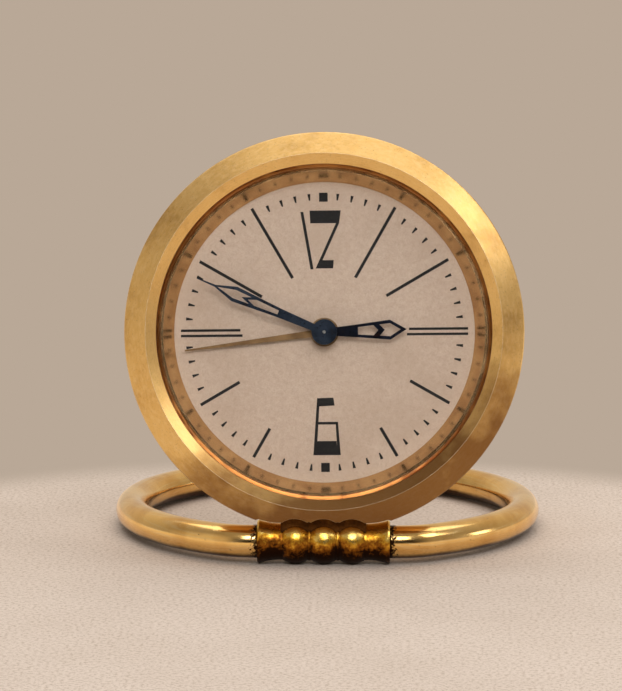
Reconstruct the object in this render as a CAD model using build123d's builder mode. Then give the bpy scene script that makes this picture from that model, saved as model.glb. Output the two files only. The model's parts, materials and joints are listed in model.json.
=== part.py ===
# A round pendulette alarm clock that leans on its folding ring stand, in millimetres.
# X is to the right, Y to the rear, Z up. The origin is on the table under the middle of the clock.
# Depths in the case are measured along the dial's outward normal, from the dial's front face.

import os
from math import asin, cos, degrees, radians, sin

from build123d import *

os.makedirs("parts", exist_ok=True)

# Movement plate: the case is built round it, and the wheels follow it
plate_radius = 26.0

# Stance
lean = 10.0
hinge_margin = 1.9
hinge_depth = 0.7

# Bezel and crystal
outer_bevel_width = 4.1
inner_bevel_width = 1.95
ridge_rise = 1.2
rim_land = 1.4
flange_height = 2.6
crystal_seat_step = 0.3
crystal_edge_drop = 0.1
seat_rise = 0.6
rim_round = 0.3
ridge_round = 0.2
crystal_thickness = 2.0
crystal_bevel = 0.6
seat_gap = 0.05
notch_gap = 0.18
overrun = 5.0

# Dial and reflector ring
dial_thickness = 0.5
dial_margin = 1.85
dial_hole_radius = 1.95
dial_foot_radius = 0.6
dial_foot_length = 3.1
dial_foot_inset = 3.6
dial_foot_bearings = (38.0, 232.0)
reflector_foot_inset = 1.3
reflector_mouth_margin = 1.25
reflector_foot_height = 0.1
reflector_sheet = 0.3
rest_ring_inset = 4.0
rest_ring_width = 1.6

# Drum and back cover
drum_draw = 2.35
drum_wall = 0.6
drum_straight_depth = 4.0
plate_clearance = 2.15
rear_space = 3.2
cover_depth = 2.0
back_wall = 0.8
back_round = 2.15
shoulder_depth = 0.9
spigot_length = 1.0
spigot_wall = 0.75

# Hinge barrel
bead_radius = 4.2
bead_pitch = 5.37
bead_half_width = 2.36
waist_radius = 3.5
waist_bead_radius = 3.63
neck_radius = 3.45
neck_width = 2.33
flare_width = 2.4
flare_radius = 3.6
collar_radius = 4.1
collar_width = 2.0
collar_face_radius = 3.95
barrel_rim = 0.35

# Saddle between barrel and drum
saddle_half_length = 8.0
saddle_front = 2.4
saddle_rear = 3.8
saddle_screw_spacing = 10.0
saddle_screw_depth = 2.2
saddle_screw_radius = 0.7
saddle_screw_head_radius = 1.2
saddle_screw_head_height = 0.6
saddle_screw_length = 2.2

# Ring stand
tube_radius = 3.1
hinge_bore_gap = 0.05
ring_margin = 1.2
ring_set_in = 4.4
straight_margin = 1.05
ring_end_gap = 0.5
ring_pin_radius = 1.5
ring_pin_length = 14.0

# Movement frame
motion_space = 2.1
plate_thickness = 1.2
train_space = 7.0
pillar_circle_share = 0.88462
pillar_radius_share = 0.05385
pillar_bearings = (60.0, 118.0, 205.0, 328.0)
rivet_radius = 0.9
pillar_screw_radius = 0.7
pillar_screw_length = 2.2
screw_head_radius = 1.4
screw_head_height = 0.7
spacer_circle_share = 0.84615
spacer_radius_share = 0.06923
spacer_bearings = (78.0, 195.0, 308.0)
case_screw_radius = 0.75
screw_slot_width = 0.4
screw_slot_depth = 0.35
pivot_gap = 0.05
pivot_radius = 0.45
arbor_radius = 0.6

# Gears: modules, teeth and the bearings of the arbors, counter-clockwise from 3 o'clock
addendum_share = 0.70
dedendum_share = 1.05
root_shares = (-0.27, 0.27)
tip_shares = (-0.10, 0.10)
great_module_share = 0.016923
great_teeth = 48
centre_pinion_leaves = 10
great_bearing = 166.0
centre_module_share = 0.012308
centre_teeth = 48
third_leaves = 8
third_bearing = 250.0
third_module_share = 0.009615
third_teeth = 45
fourth_leaves = 8
fourth_bearing = 338.0
fourth_module_share = 0.009038
fourth_teeth = 40
escape_leaves = 7
escape_bearing = 320.0
alarm_great_module_share = 0.015385
alarm_great_teeth = 44
alarm_great_distance_share = 0.5
alarm_great_bearing = 14.0
verge_leaves = 8
verge_bearing = 290.0
motion_module_share = 0.009615
cannon_leaves = 12
minute_wheel_teeth = 36
minute_pinion_leaves = 10
hour_wheel_teeth = 40
minute_wheel_bearing = 205.0
alarm_module_share = 0.013462
alarm_wheel_teeth = 48
alarm_pinion_leaves = 12
alarm_arbor_bearing = 90.0

# Depths of the wheels behind the dial face
wheel_sheet = 0.5
great_front = 5.0
spring_barrel_rear = 8.8
spring_barrel_wall = 0.5
great_rim = 0.9
spring_barrel_clearance = 1.0
spring_gap = 0.3
core_radius_share = 0.1
key_arbor_radius = 1.0
centre_wheel_front = 9.3
centre_pinion_front = 4.3
centre_pinion_rear = 6.2
third_wheel_front = 4.1
third_pinion_front = 8.9
third_pinion_rear = 10.2
fourth_wheel_front = 7.6
fourth_pinion_front = 4.0
fourth_pinion_rear = 4.85
escape_wheel_front = 5.4
escape_pinion_front = 7.2
escape_pinion_rear = 8.4
verge_wheel_front = 9.4
verge_pinion_front = 4.6
verge_pinion_rear = 6.1

# Escapement
escape_tip_radius_share = 0.13846
escape_root_radius_share = 0.10385
escape_teeth = 15
escape_phase = 6.0
escape_root_share = 0.22
escape_tip_share = 0.06
lever_distance_share = 0.18846
lever_bearing = 205.0
fork_reach_share = 0.28846
impulse_radius_share = 0.05385
lever_width = 0.6
lever_hub_radius = 0.9
lever_sheet = 0.35
pallet_span_share = 0.09038
pallet_reach_share = 0.06731
pallet_width = 0.4
fork_width = 1.7
fork_slot_depth = 1.0
impulse_pin_radius = 0.18
impulse_gap = 0.08
roller_radius_share = 0.07308
roller_front = 6.3
roller_thickness = 0.4
balance_radius_share = 0.19231
balance_rim = 0.7
balance_front = 8.9
balance_thickness = 0.8
balance_spoke = 0.8
hairspring_front = 10.05
hairspring_height = 0.3
hairspring_wire = 0.12
hairspring_inner = 1.0
hairspring_pitch = 0.55
hairspring_turn_count = 4

# Motion work in front of the plate
cannon_front = 1.85
minute_pinion_front = 1.3
hour_wheel_front = 1.3
hour_wheel_sheet = 0.4
alarm_wheel_front = 0.7
alarm_wheel_sheet = 0.4
centre_arbor_radius = 0.5
cannon_pipe_radius = 0.85
hour_pipe_radius = 1.3
alarm_pipe_radius = 1.75

# Hands
alarm_hand_height = 0.7
hour_hand_height = 1.45
minute_hand_height = 2.25
hand_sheet = 0.25
hub_thickness = 0.55
minute_hand_length_share = 0.77365
minute_needle_share = 0.103
minute_hand_bearing = -202.7
minute_hub_radius = 2.4
minute_hand_root = 0.62
minute_hand_waist = 0.9
minute_hand_widest = 1.47
hour_hand_length_share = 0.52365
hour_hand_bearing = 2.3
hour_hub_radius = 2.0
hour_hand_root = 0.6
hour_hand_waist = 1.22
hour_hand_widest = 1.87
alarm_hand_length_share = 0.89527
alarm_hand_bearing = 187.8
alarm_hub_radius = 2.7
alarm_hand_root = 0.7
alarm_hand_tip = 0.15
hand_rail = 0.52
rail_swell_share = 1.25
needle_half = 0.23
needle_tip = 0.09
widest_share = 0.80
window_start_share = 0.41
chevron_apex_share = 0.735
chevron_foot_share = 0.58
chevron_share = 2.4
point_share = 2.2
hub_cap = 0.2
arbor_tip_radius = 0.3
arbor_tip_height = 3.0

# Back: keys, knobs, button, regulator
back_clearance = 0.3
key_hub_radius = 2.1
key_hub_length = 3.0
key_lobe_radius = 3.0
key_lobe_reach = 3.4
key_lobe_rise = 5.2
key_eye_radius = 1.1
key_sheet = 1.2
knob_radius = 3.6
knob_length = 3.6
knob_arbor_radius = 0.8
knurl_depth = 0.3
knurl_count = 18
ratchet_radius_share = 0.17692
ratchet_tooth = 0.7
ratchet_teeth = 16
ratchet_sheet = 0.7
ratchet_gap = 0.3
undercut_share = 0.15
click_distance_share = 0.28462
click_length_share = 0.13846
click_width = 1.5
click_bearing = 60.0
click_clearance = 0.25
click_screw_radius = 0.6
button_distance_share = 0.71538
button_radius = 1.9
button_stem_radius = 0.9
button_collar_radius = 1.7
button_collar_height = 0.5
button_travel = 2.0
button_height = 2.4
button_spring_wall = 0.4
regulator_sheet = 0.4
regulator_hub_radius = 1.9
regulator_length_share = 0.24615
regulator_width = 1.1
regulator_tab_height = 5.0
regulator_swing = 15.0
regulator_slot_swing = 20.0
regulator_bearing = 60.0

# Alarm striker
verge_tip_radius_share = 0.12308
verge_root_radius_share = 0.09231
verge_teeth = 13
hammer_distance_share = 0.24231
hammer_bearing = 262.0
hammer_arm_share = 0.38462
hammer_arm_bearing = 260.0
hammer_width = 1.0
hammer_head_radius = 1.7
hammer_head_front = 6.6
hammer_swing_gap = 0.35

# Case sizes, from the movement plate outwards
drum_end_radius = plate_radius + plate_clearance + drum_wall
drum_radius = drum_end_radius + drum_draw
crystal_seat_radius = drum_radius + crystal_seat_step
ridge_radius = crystal_seat_radius + inner_bevel_width
case_radius = ridge_radius + outer_bevel_width
back_flat_radius = drum_end_radius - back_round
dial_radius = crystal_seat_radius - dial_margin
reflector_foot_radius = dial_radius - reflector_foot_inset
reflector_mouth_radius = crystal_seat_radius - reflector_mouth_margin
rest_ring_radius = dial_radius - rest_ring_inset
dial_foot_circle = rest_ring_radius - rest_ring_width - dial_foot_inset
hinge_drop = case_radius + hinge_margin
ring_radius = case_radius + ring_margin
ring_offset = hinge_drop - ring_set_in
neck_reach = bead_pitch + neck_width
flare_reach = neck_reach + flare_width
collar_start = flare_reach + collar_width
barrel_half_length = collar_start + barrel_rim
ring_straight_half = barrel_half_length + straight_margin

# Depths, from the bezel's flange forwards and from the movement backwards
rim_height = flange_height + rim_land
drum_seat_height = flange_height + seat_rise
crystal_rear = drum_seat_height + reflector_sheet
crystal_edge_height = crystal_rear + crystal_thickness - crystal_edge_drop
ridge_height = crystal_edge_height + ridge_rise
hub_front = minute_hand_height + hub_thickness
pipe_front = hub_front - hub_cap
front_plate_front = -dial_thickness - motion_space
front_plate_rear = front_plate_front - plate_thickness
rear_plate_front = front_plate_rear - train_space
rear_plate_rear = rear_plate_front - plate_thickness
drum_end_depth = rear_space - rear_plate_rear
back_shoulder_depth = drum_end_depth + shoulder_depth
back_depth = drum_end_depth + cover_depth
back_inside = back_wall - back_depth

# Hands and movement, in shares of the dial and of the plate
minute_hand_length = dial_radius * minute_hand_length_share
minute_needle_length = dial_radius * minute_needle_share
hour_hand_length = dial_radius * hour_hand_length_share
alarm_hand_length = dial_radius * alarm_hand_length_share
pillar_circle = plate_radius * pillar_circle_share
pillar_radius = plate_radius * pillar_radius_share
spacer_circle = plate_radius * spacer_circle_share
spacer_radius = plate_radius * spacer_radius_share
great_module = plate_radius * great_module_share
centre_module = plate_radius * centre_module_share
third_module = plate_radius * third_module_share
fourth_module = plate_radius * fourth_module_share
alarm_great_module = plate_radius * alarm_great_module_share
motion_module = plate_radius * motion_module_share
alarm_module = plate_radius * alarm_module_share
alarm_great_distance = plate_radius * alarm_great_distance_share
core_radius = plate_radius * core_radius_share
escape_tip_radius = plate_radius * escape_tip_radius_share
escape_root_radius = plate_radius * escape_root_radius_share
lever_distance = plate_radius * lever_distance_share
fork_reach = plate_radius * fork_reach_share
impulse_radius = plate_radius * impulse_radius_share
pallet_span = plate_radius * pallet_span_share
pallet_reach = plate_radius * pallet_reach_share
roller_radius = plate_radius * roller_radius_share
balance_radius = plate_radius * balance_radius_share
ratchet_radius = plate_radius * ratchet_radius_share
click_distance = plate_radius * click_distance_share
click_length = plate_radius * click_length_share
regulator_length = plate_radius * regulator_length_share
verge_tip_radius = plate_radius * verge_tip_radius_share
verge_root_radius = plate_radius * verge_root_radius_share
hammer_distance = plate_radius * hammer_distance_share
hammer_arm = plate_radius * hammer_arm_share
button_place = (0, plate_radius * button_distance_share)

# Derived places and planes
ring_tilt = degrees(asin((bead_radius - tube_radius) / (ring_offset + ring_radius)))
rear_reach = (ring_offset + ring_radius) * cos(radians(ring_tilt)) + tube_radius
front_reach = (ridge_height + hinge_depth) * cos(radians(lean))
front_reach -= (hinge_drop - ridge_radius) * sin(radians(lean))
hinge_point = Vector(0, (front_reach - rear_reach) / 2, bead_radius)
case_up = Vector(0, sin(radians(lean)), cos(radians(lean)))
case_out = Vector(0, -cos(radians(lean)), sin(radians(lean)))
dial_centre = hinge_point + case_up * hinge_drop + case_out * hinge_depth
dial_plane = Plane(origin=dial_centre, x_dir=(1, 0, 0), z_dir=case_out)
hinge_axis = Axis(hinge_point, (1, 0, 0))
hinge_section = Plane(origin=hinge_point, x_dir=(1, 0, 0), z_dir=(0, -1, 0))
ring_plane = Plane(hinge_point, x_dir=(1, 0, 0), z_dir=(0, sin(radians(ring_tilt)), cos(radians(ring_tilt))))
hinge_bore = tube_radius + hinge_bore_gap


def place_at(distance, bearing, start=(0, 0)):
    # A place on the dial, a distance away from another one.
    return (
        start[0] + distance * cos(radians(bearing)),
        start[1] + distance * sin(radians(bearing)),
    )


def level(depth, place=(0, 0), turn=0):
    # A plane parallel to the dial, over a place, at a depth.
    origin = dial_plane.from_local_coords(Vector(place[0], place[1], depth))
    across = Vector(1, 0, 0) * cos(radians(turn)) + case_up * sin(radians(turn))
    return Plane(origin=origin, x_dir=across, z_dir=case_out)


def section(place=(0, 0)):
    # A plane square to the dial: its x is the radius from the place, its y the outward depth.
    origin = dial_plane.from_local_coords(Vector(place[0], place[1], 0))
    return Plane(origin=origin, x_dir=(1, 0, 0), z_dir=case_up * -1)


def dial_axis(place=(0, 0)):
    return Axis(dial_plane.from_local_coords(Vector(place[0], place[1], 0)), case_out)


def turned(place, *steps):
    # Coaxial turned steps, each a radius with its front and rear depth.
    with BuildPart() as work:
        for radius, front, rear in steps:
            with BuildSketch(level(rear, place)):
                Circle(radius)
            extrude(amount=front - rear)
    return work.part


def tooth_ring(teeth, module, phase):
    # The outline of a gear with straight-sided teeth, one of them at the phase angle.
    pitch_radius = module * teeth / 2
    corners = []
    for tooth in range(teeth):
        for radius, share in (
            (pitch_radius - dedendum_share * module, root_shares[0]),
            (pitch_radius + addendum_share * module, tip_shares[0]),
            (pitch_radius + addendum_share * module, tip_shares[1]),
            (pitch_radius - dedendum_share * module, root_shares[1]),
        ):
            corners.append(place_at(radius, phase + (tooth + share) * 360 / teeth))
    return corners


def gear(place, teeth, module, phase, front, thickness):
    # A toothed blank with its front face at a depth.
    with BuildPart() as work:
        with BuildSketch(level(front, place)):
            with BuildLine():
                Polyline(*tooth_ring(teeth, module, phase), close=True)
            make_face()
        extrude(amount=-thickness)
    return work.part


def pointed_wheel(place, points, tip, root, phase, front, thickness):
    # A wheel of slender pointed teeth, as an escape or verge wheel has.
    corners = []
    for point in range(points):
        for radius, share in (
            (root, -escape_root_share),
            (tip, -escape_tip_share),
            (tip, escape_tip_share),
            (root, escape_root_share),
        ):
            corners.append(place_at(radius, phase + (point + share) * 360 / points))
    with BuildPart() as work:
        with BuildSketch(level(front, place)):
            with BuildLine():
                Polyline(*corners, close=True)
            make_face()
        extrude(amount=-thickness)
    return work.part


def barrel_outline(foot, grow):
    # The barrel's turned edge, three beads between flared collars, closed along a foot line.
    bead = bead_radius + grow
    waist = waist_radius + grow
    outer_start = bead_pitch - bead_half_width
    ThreePointArc((-bead_half_width, waist), (0, bead), (bead_half_width, waist))
    for side in (-1, 1):
        ThreePointArc(
            (side * bead_half_width, waist),
            (side * bead_pitch / 2, waist_bead_radius + grow),
            (side * outer_start, waist),
        )
        ThreePointArc(
            (side * outer_start, waist),
            (side * bead_pitch, bead),
            (side * neck_reach, neck_radius + grow),
        )
        ThreePointArc(
            (side * neck_reach, neck_radius + grow),
            (side * flare_reach, flare_radius + grow),
            (side * collar_start, collar_radius + grow),
        )
        Polyline(
            (side * collar_start, collar_radius + grow),
            (side * (barrel_half_length + grow), collar_face_radius + grow),
            (side * (barrel_half_length + grow), foot),
        )
    Line((-barrel_half_length - grow, foot), (barrel_half_length + grow, foot))


def lance(length, root, waist, widest, hub):
    # A skeleton lance hand along +X: a solid root, then an open window to the point.
    window = length * window_start_share
    wide = length * widest_share
    with BuildSketch(Plane.XY) as hand:
        with BuildLine():
            Polyline((0, root), (window, waist), (wide, widest), (length, 0))
            Polyline((length, 0), (wide, -widest), (window, -waist), (0, -root), (0, root))
        make_face()
        Circle(hub)
        with BuildLine():
            Polyline(
                (window, waist - hand_rail),
                (wide, widest - hand_rail * rail_swell_share),
                (length - point_share * hand_rail, 0),
                (wide, hand_rail * rail_swell_share - widest),
                (window, hand_rail - waist),
                close=True,
            )
        make_face(mode=Mode.SUBTRACT)
        for side in (-1, 1):
            foot = length * chevron_foot_share
            apex = length * chevron_apex_share
            foot_way = (chevron_foot_share - window_start_share) / (widest_share - window_start_share)
            foot_half = waist + (widest - waist) * foot_way - hand_rail / 2
            with BuildLine():
                Polyline(
                    (foot, side * foot_half),
                    (foot + chevron_share * hand_rail, side * foot_half),
                    (apex, 0),
                    (apex - chevron_share * hand_rail, 0),
                    close=True,
                )
            make_face()
    return hand.sketch


# Arbor places
great_place = place_at(great_module * (great_teeth + centre_pinion_leaves) / 2, great_bearing)
third_place = place_at(centre_module * (centre_teeth + third_leaves) / 2, third_bearing)
fourth_place = place_at(third_module * (third_teeth + fourth_leaves) / 2, fourth_bearing, third_place)
escape_place = place_at(fourth_module * (fourth_teeth + escape_leaves) / 2, escape_bearing, fourth_place)
lever_place = place_at(lever_distance, lever_bearing, escape_place)
balance_place = place_at(fork_reach, lever_bearing, lever_place)
alarm_great_place = place_at(alarm_great_distance, alarm_great_bearing)
verge_distance = alarm_great_module * (alarm_great_teeth + verge_leaves) / 2
verge_place = place_at(verge_distance, verge_bearing, alarm_great_place)
hammer_place = place_at(hammer_distance, hammer_bearing, verge_place)
motion_distance = motion_module * (cannon_leaves + minute_wheel_teeth) / 2
hour_module = 2 * motion_distance / (hour_wheel_teeth + minute_pinion_leaves)
minute_wheel_place = place_at(motion_distance, minute_wheel_bearing)
alarm_distance = alarm_module * (alarm_wheel_teeth + alarm_pinion_leaves) / 2
alarm_arbor_place = place_at(alarm_distance, alarm_arbor_bearing)
pillar_places = [place_at(pillar_circle, bearing) for bearing in pillar_bearings]
spacer_places = [place_at(spacer_circle, bearing) for bearing in spacer_bearings]
dial_foot_places = [place_at(dial_foot_circle, bearing) for bearing in dial_foot_bearings]


# Bezel: a two-sided ridge ring, notched round the hinge barrel
with BuildPart() as bezel:
    with BuildSketch(section()):
        with BuildLine():
            Polyline(
                (crystal_seat_radius, crystal_edge_height),
                (ridge_radius, ridge_height),
                (case_radius, rim_height),
                (case_radius, flange_height),
                (drum_radius + seat_gap, flange_height),
                (drum_radius + seat_gap, drum_seat_height),
                (crystal_seat_radius, drum_seat_height),
                close=True,
            )
        rim = make_face()
        fillet(rim.vertices().sort_by(Axis.X)[-2:], rim_round)
        ridge = vertices().sort_by(dial_axis())[-1]
        fillet(ridge, ridge_round)
    revolve(axis=dial_axis())
    with BuildSketch(level(-overrun, (0, -hinge_drop))):
        with BuildLine():
            barrel_outline(-bead_radius, notch_gap)
        make_face()
    extrude(amount=2 * overrun + ridge_height, mode=Mode.SUBTRACT)
bezel.part.label = "bezel"

# Crystal: a flat disc with a bevelled front edge, pressed into the bezel
with BuildPart() as crystal:
    with BuildSketch(level(crystal_rear)):
        Circle(crystal_seat_radius - seat_gap)
    extrude(amount=crystal_thickness)
    chamfer(crystal.edges().sort_by(dial_axis())[-1], crystal_bevel)
crystal.part.label = "crystal"

# Reflector ring: a polished cone between crystal and dial, hung from a flat flange
with BuildPart() as reflector_ring:
    with BuildSketch(section()):
        with BuildLine():
            Polyline(
                (reflector_foot_radius, reflector_foot_height),
                (reflector_mouth_radius, crystal_rear),
                (crystal_seat_radius - seat_gap, crystal_rear),
                (crystal_seat_radius - seat_gap, drum_seat_height),
                (reflector_mouth_radius + reflector_sheet, drum_seat_height),
                (reflector_foot_radius + reflector_sheet, reflector_foot_height),
                close=True,
            )
        make_face()
    revolve(axis=dial_axis())
reflector_ring.part.label = "reflector_ring"

# Dial: a thin disc on two feet
with BuildPart() as dial:
    add(turned((0, 0), (dial_radius, 0, -dial_thickness)))
    for foot_place in dial_foot_places:
        add(turned(foot_place, (dial_foot_radius, -dial_thickness, -dial_thickness - dial_foot_length)))
    add(turned((0, 0), (dial_hole_radius, 0, -dial_thickness)), mode=Mode.SUBTRACT)
dial.part.label = "dial"

# Case drum: straight behind the bezel, then drawn in so that the ring can fold over it
with BuildPart() as case_drum:
    with BuildSketch(section()):
        with BuildLine():
            Polyline(
                (drum_radius, drum_seat_height),
                (drum_radius, -drum_straight_depth),
                (drum_end_radius, -drum_end_depth),
                (drum_end_radius - drum_wall, -drum_end_depth),
                (drum_radius - drum_wall, -drum_straight_depth),
                (drum_radius - drum_wall, drum_seat_height),
                close=True,
            )
        make_face()
    revolve(axis=dial_axis())
    with BuildSketch(Plane(dial_centre, x_dir=(1, 0, 0), z_dir=case_up * -1)):
        with Locations((0, -saddle_screw_depth)):
            with GridLocations(saddle_screw_spacing, 0, 2, 1):
                Circle(saddle_screw_radius + pivot_gap)
    extrude(amount=drum_radius + overrun, mode=Mode.SUBTRACT)
case_drum.part.label = "case_drum"

# Back cover: a shallow cup with a spigot inside the drum's end
regulator_slot_radius = regulator_length - regulator_width / 2
regulator_slot = CenterArc(
    (0, 0), regulator_slot_radius, regulator_bearing - regulator_slot_swing, 2 * regulator_slot_swing
)
with BuildPart() as back_cover:
    with BuildSketch(section()):
        spigot_radius = drum_end_radius - drum_wall - seat_gap
        with BuildLine():
            Line((0, -back_depth), (back_flat_radius, -back_depth))
            RadiusArc(
                (back_flat_radius, -back_depth),
                (drum_end_radius, -drum_end_depth),
                -(drum_end_radius - back_flat_radius),
            )
            Polyline(
                (drum_end_radius, -drum_end_depth),
                (spigot_radius, -drum_end_depth),
                (spigot_radius, spigot_length - drum_end_depth),
                (spigot_radius - spigot_wall, spigot_length - drum_end_depth),
                (spigot_radius - spigot_wall, -back_shoulder_depth),
                (back_flat_radius - spigot_wall, back_inside),
                (0, back_inside),
                (0, -back_depth),
            )
        make_face()
    revolve(axis=dial_axis())
    with BuildSketch(level(-back_depth - overrun)):
        with Locations(great_place, alarm_great_place):
            Circle(key_arbor_radius + back_clearance)
        with Locations((0, 0), alarm_arbor_place):
            Circle(knob_arbor_radius + back_clearance)
        with Locations(button_place):
            Circle(button_stem_radius + back_clearance)
        with Locations(*spacer_places):
            Circle(case_screw_radius + pivot_gap)
    extrude(amount=2 * overrun, mode=Mode.SUBTRACT)
    with BuildSketch(level(-back_depth - overrun, balance_place)):
        SlotArc(regulator_slot, regulator_width + 2 * back_clearance)
    extrude(amount=2 * overrun, mode=Mode.SUBTRACT)
back_cover.part.label = "back_cover"

# Hinge barrel: a turned knuckle with three beads, soldered to the saddle
with BuildPart() as hinge_barrel:
    with BuildSketch(hinge_section):
        with BuildLine():
            barrel_outline(hinge_bore, 0)
        make_face()
    revolve(axis=hinge_axis)
hinge_barrel.part.label = "hinge_barrel"

# Saddle: a block hollowed to the drum above and to the barrel below
with BuildPart() as barrel_saddle:
    with BuildSketch(level(-saddle_rear, (0, -hinge_drop))):
        with Locations((0, (hinge_drop - drum_radius) / 2 + waist_radius / 2)):
            Rectangle(2 * saddle_half_length, hinge_drop - drum_radius)
    extrude(amount=saddle_front + saddle_rear)
    with BuildSketch(level(-saddle_rear - overrun)):
        Circle(drum_radius + seat_gap)
    extrude(amount=2 * overrun + saddle_front, mode=Mode.SUBTRACT)
    with BuildSketch(hinge_section):
        with BuildLine():
            barrel_outline(0, seat_gap)
        make_face()
    revolve(axis=hinge_axis, mode=Mode.SUBTRACT)
    with BuildSketch(Plane(dial_centre, x_dir=(1, 0, 0), z_dir=case_up * -1)):
        with Locations((0, -saddle_screw_depth)):
            with GridLocations(saddle_screw_spacing, 0, 2, 1):
                Circle(saddle_screw_radius + pivot_gap)
    extrude(amount=drum_radius + saddle_screw_length + seat_gap, mode=Mode.SUBTRACT)
barrel_saddle.part.label = "barrel_saddle"

# Saddle screws: from inside the drum into the saddle
with BuildPart() as saddle_screws:
    screw_plane = Plane(dial_centre, x_dir=(1, 0, 0), z_dir=case_up * -1)
    head_start = drum_radius - drum_wall - saddle_screw_head_height - seat_gap * 3
    with BuildSketch(screw_plane.offset(head_start)):
        with Locations((0, -saddle_screw_depth)):
            with GridLocations(saddle_screw_spacing, 0, 2, 1):
                Circle(saddle_screw_radius)
    extrude(amount=drum_radius + saddle_screw_length - head_start)
    with BuildSketch(screw_plane.offset(head_start - saddle_screw_head_height)):
        with Locations((0, -saddle_screw_depth)):
            with GridLocations(saddle_screw_spacing, 0, 2, 1):
                Circle(saddle_screw_head_radius)
    extrude(amount=saddle_screw_head_height)
saddle_screws.part.label = "saddle_screws"

# Ring stand: one bent rod, straight through the barrel, then two blends into a large circle
blend_radius = (ring_radius**2 - ring_straight_half**2 - ring_offset**2) / (2 * (ring_radius - ring_offset))
blend_angle = degrees(asin(ring_straight_half / (ring_radius - blend_radius)))
with BuildPart() as ring_stand:
    with BuildLine(ring_plane):
        for side in (-1, 1):
            Line((side * ring_end_gap / 2, 0), (side * ring_straight_half, 0))
            CenterArc((side * ring_straight_half, blend_radius), blend_radius, -90, side * blend_angle)
        CenterArc((0, ring_offset), ring_radius, blend_angle - 90, 360 - 2 * blend_angle)
    rod_end = ring_plane.from_local_coords(Vector(ring_end_gap / 2, 0, 0))
    with BuildSketch(Plane(rod_end, x_dir=case_up, z_dir=(1, 0, 0))):
        Circle(tube_radius)
    sweep()
    with BuildSketch(Plane(hinge_point, x_dir=(0, 1, 0), z_dir=(1, 0, 0))):
        Circle(ring_pin_radius + seat_gap)
    extrude(amount=ring_pin_length / 2 + seat_gap, both=True, mode=Mode.SUBTRACT)
ring_stand.part.label = "ring_stand"

# Ring joint pin: the dowel that closes the ring inside the barrel
with BuildPart() as ring_joint_pin:
    with BuildSketch(Plane(hinge_point, x_dir=(0, 1, 0), z_dir=(1, 0, 0))):
        Circle(ring_pin_radius)
    extrude(amount=ring_pin_length / 2, both=True)
ring_joint_pin.part.label = "ring_joint_pin"

# Minute hand: a blued skeleton lance with a needle point and a capped hub
with BuildPart() as minute_hand:
    with BuildSketch(level(minute_hand_height, turn=minute_hand_bearing)):
        add(
            lance(
                minute_hand_length,
                minute_hand_root,
                minute_hand_waist,
                minute_hand_widest,
                minute_hub_radius,
            )
        )
        with BuildLine():
            Polyline(
                (minute_hand_length - point_share * hand_rail, needle_half),
                (minute_hand_length + minute_needle_length, needle_tip),
                (minute_hand_length + minute_needle_length, -needle_tip),
                (minute_hand_length - point_share * hand_rail, -needle_half),
                close=True,
            )
        make_face()
    extrude(amount=hand_sheet)
    add(turned((0, 0), (minute_hub_radius, hub_front, minute_hand_height)))
    add(
        turned(
            (0, 0),
            (arbor_tip_radius, hub_front, pipe_front),
            (cannon_pipe_radius, pipe_front, minute_hand_height),
        ),
        mode=Mode.SUBTRACT,
    )
minute_hand.part.label = "minute_hand"

# Hour hand: the same lance, shorter and broader
with BuildPart() as hour_hand:
    with BuildSketch(level(hour_hand_height, turn=hour_hand_bearing)):
        add(lance(hour_hand_length, hour_hand_root, hour_hand_waist, hour_hand_widest, hour_hub_radius))
        Circle(hour_pipe_radius, mode=Mode.SUBTRACT)
    extrude(amount=hand_sheet)
hour_hand.part.label = "hour_hand"

# Alarm hand: a plain gilt taper beneath the other two
with BuildPart() as alarm_hand:
    with BuildSketch(level(alarm_hand_height, turn=alarm_hand_bearing)):
        with BuildLine():
            Polyline(
                (0, alarm_hand_root),
                (alarm_hand_length, alarm_hand_tip),
                (alarm_hand_length, -alarm_hand_tip),
                (0, -alarm_hand_root),
                close=True,
            )
        make_face()
        Circle(alarm_hub_radius)
        Circle(alarm_pipe_radius, mode=Mode.SUBTRACT)
    extrude(amount=hand_sheet)
alarm_hand.part.label = "alarm_hand"

# Dial rest ring between front plate and dial
with BuildPart() as dial_rest_ring:
    with BuildSketch(level(front_plate_front)):
        Circle(rest_ring_radius)
        Circle(rest_ring_radius - rest_ring_width, mode=Mode.SUBTRACT)
    extrude(amount=motion_space)
dial_rest_ring.part.label = "dial_rest_ring"

# Plates: one in front of the train and one behind it
with BuildPart() as front_plate:
    with BuildSketch(level(front_plate_rear)):
        Circle(plate_radius)
        with Locations(*pillar_places):
            Circle(rivet_radius, mode=Mode.SUBTRACT)
        with Locations(third_place, fourth_place, escape_place, lever_place, balance_place):
            Circle(pivot_radius + pivot_gap, mode=Mode.SUBTRACT)
        with Locations(verge_place, hammer_place):
            Circle(pivot_radius + pivot_gap, mode=Mode.SUBTRACT)
        with Locations(great_place, alarm_great_place):
            Circle(key_arbor_radius + pivot_gap, mode=Mode.SUBTRACT)
        with Locations(alarm_arbor_place):
            Circle(knob_arbor_radius + pivot_gap, mode=Mode.SUBTRACT)
        with Locations(*dial_foot_places):
            Circle(dial_foot_radius + seat_gap, mode=Mode.SUBTRACT)
        Circle(centre_arbor_radius + pivot_gap, mode=Mode.SUBTRACT)
    extrude(amount=plate_thickness)
front_plate.part.label = "front_plate"

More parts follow.
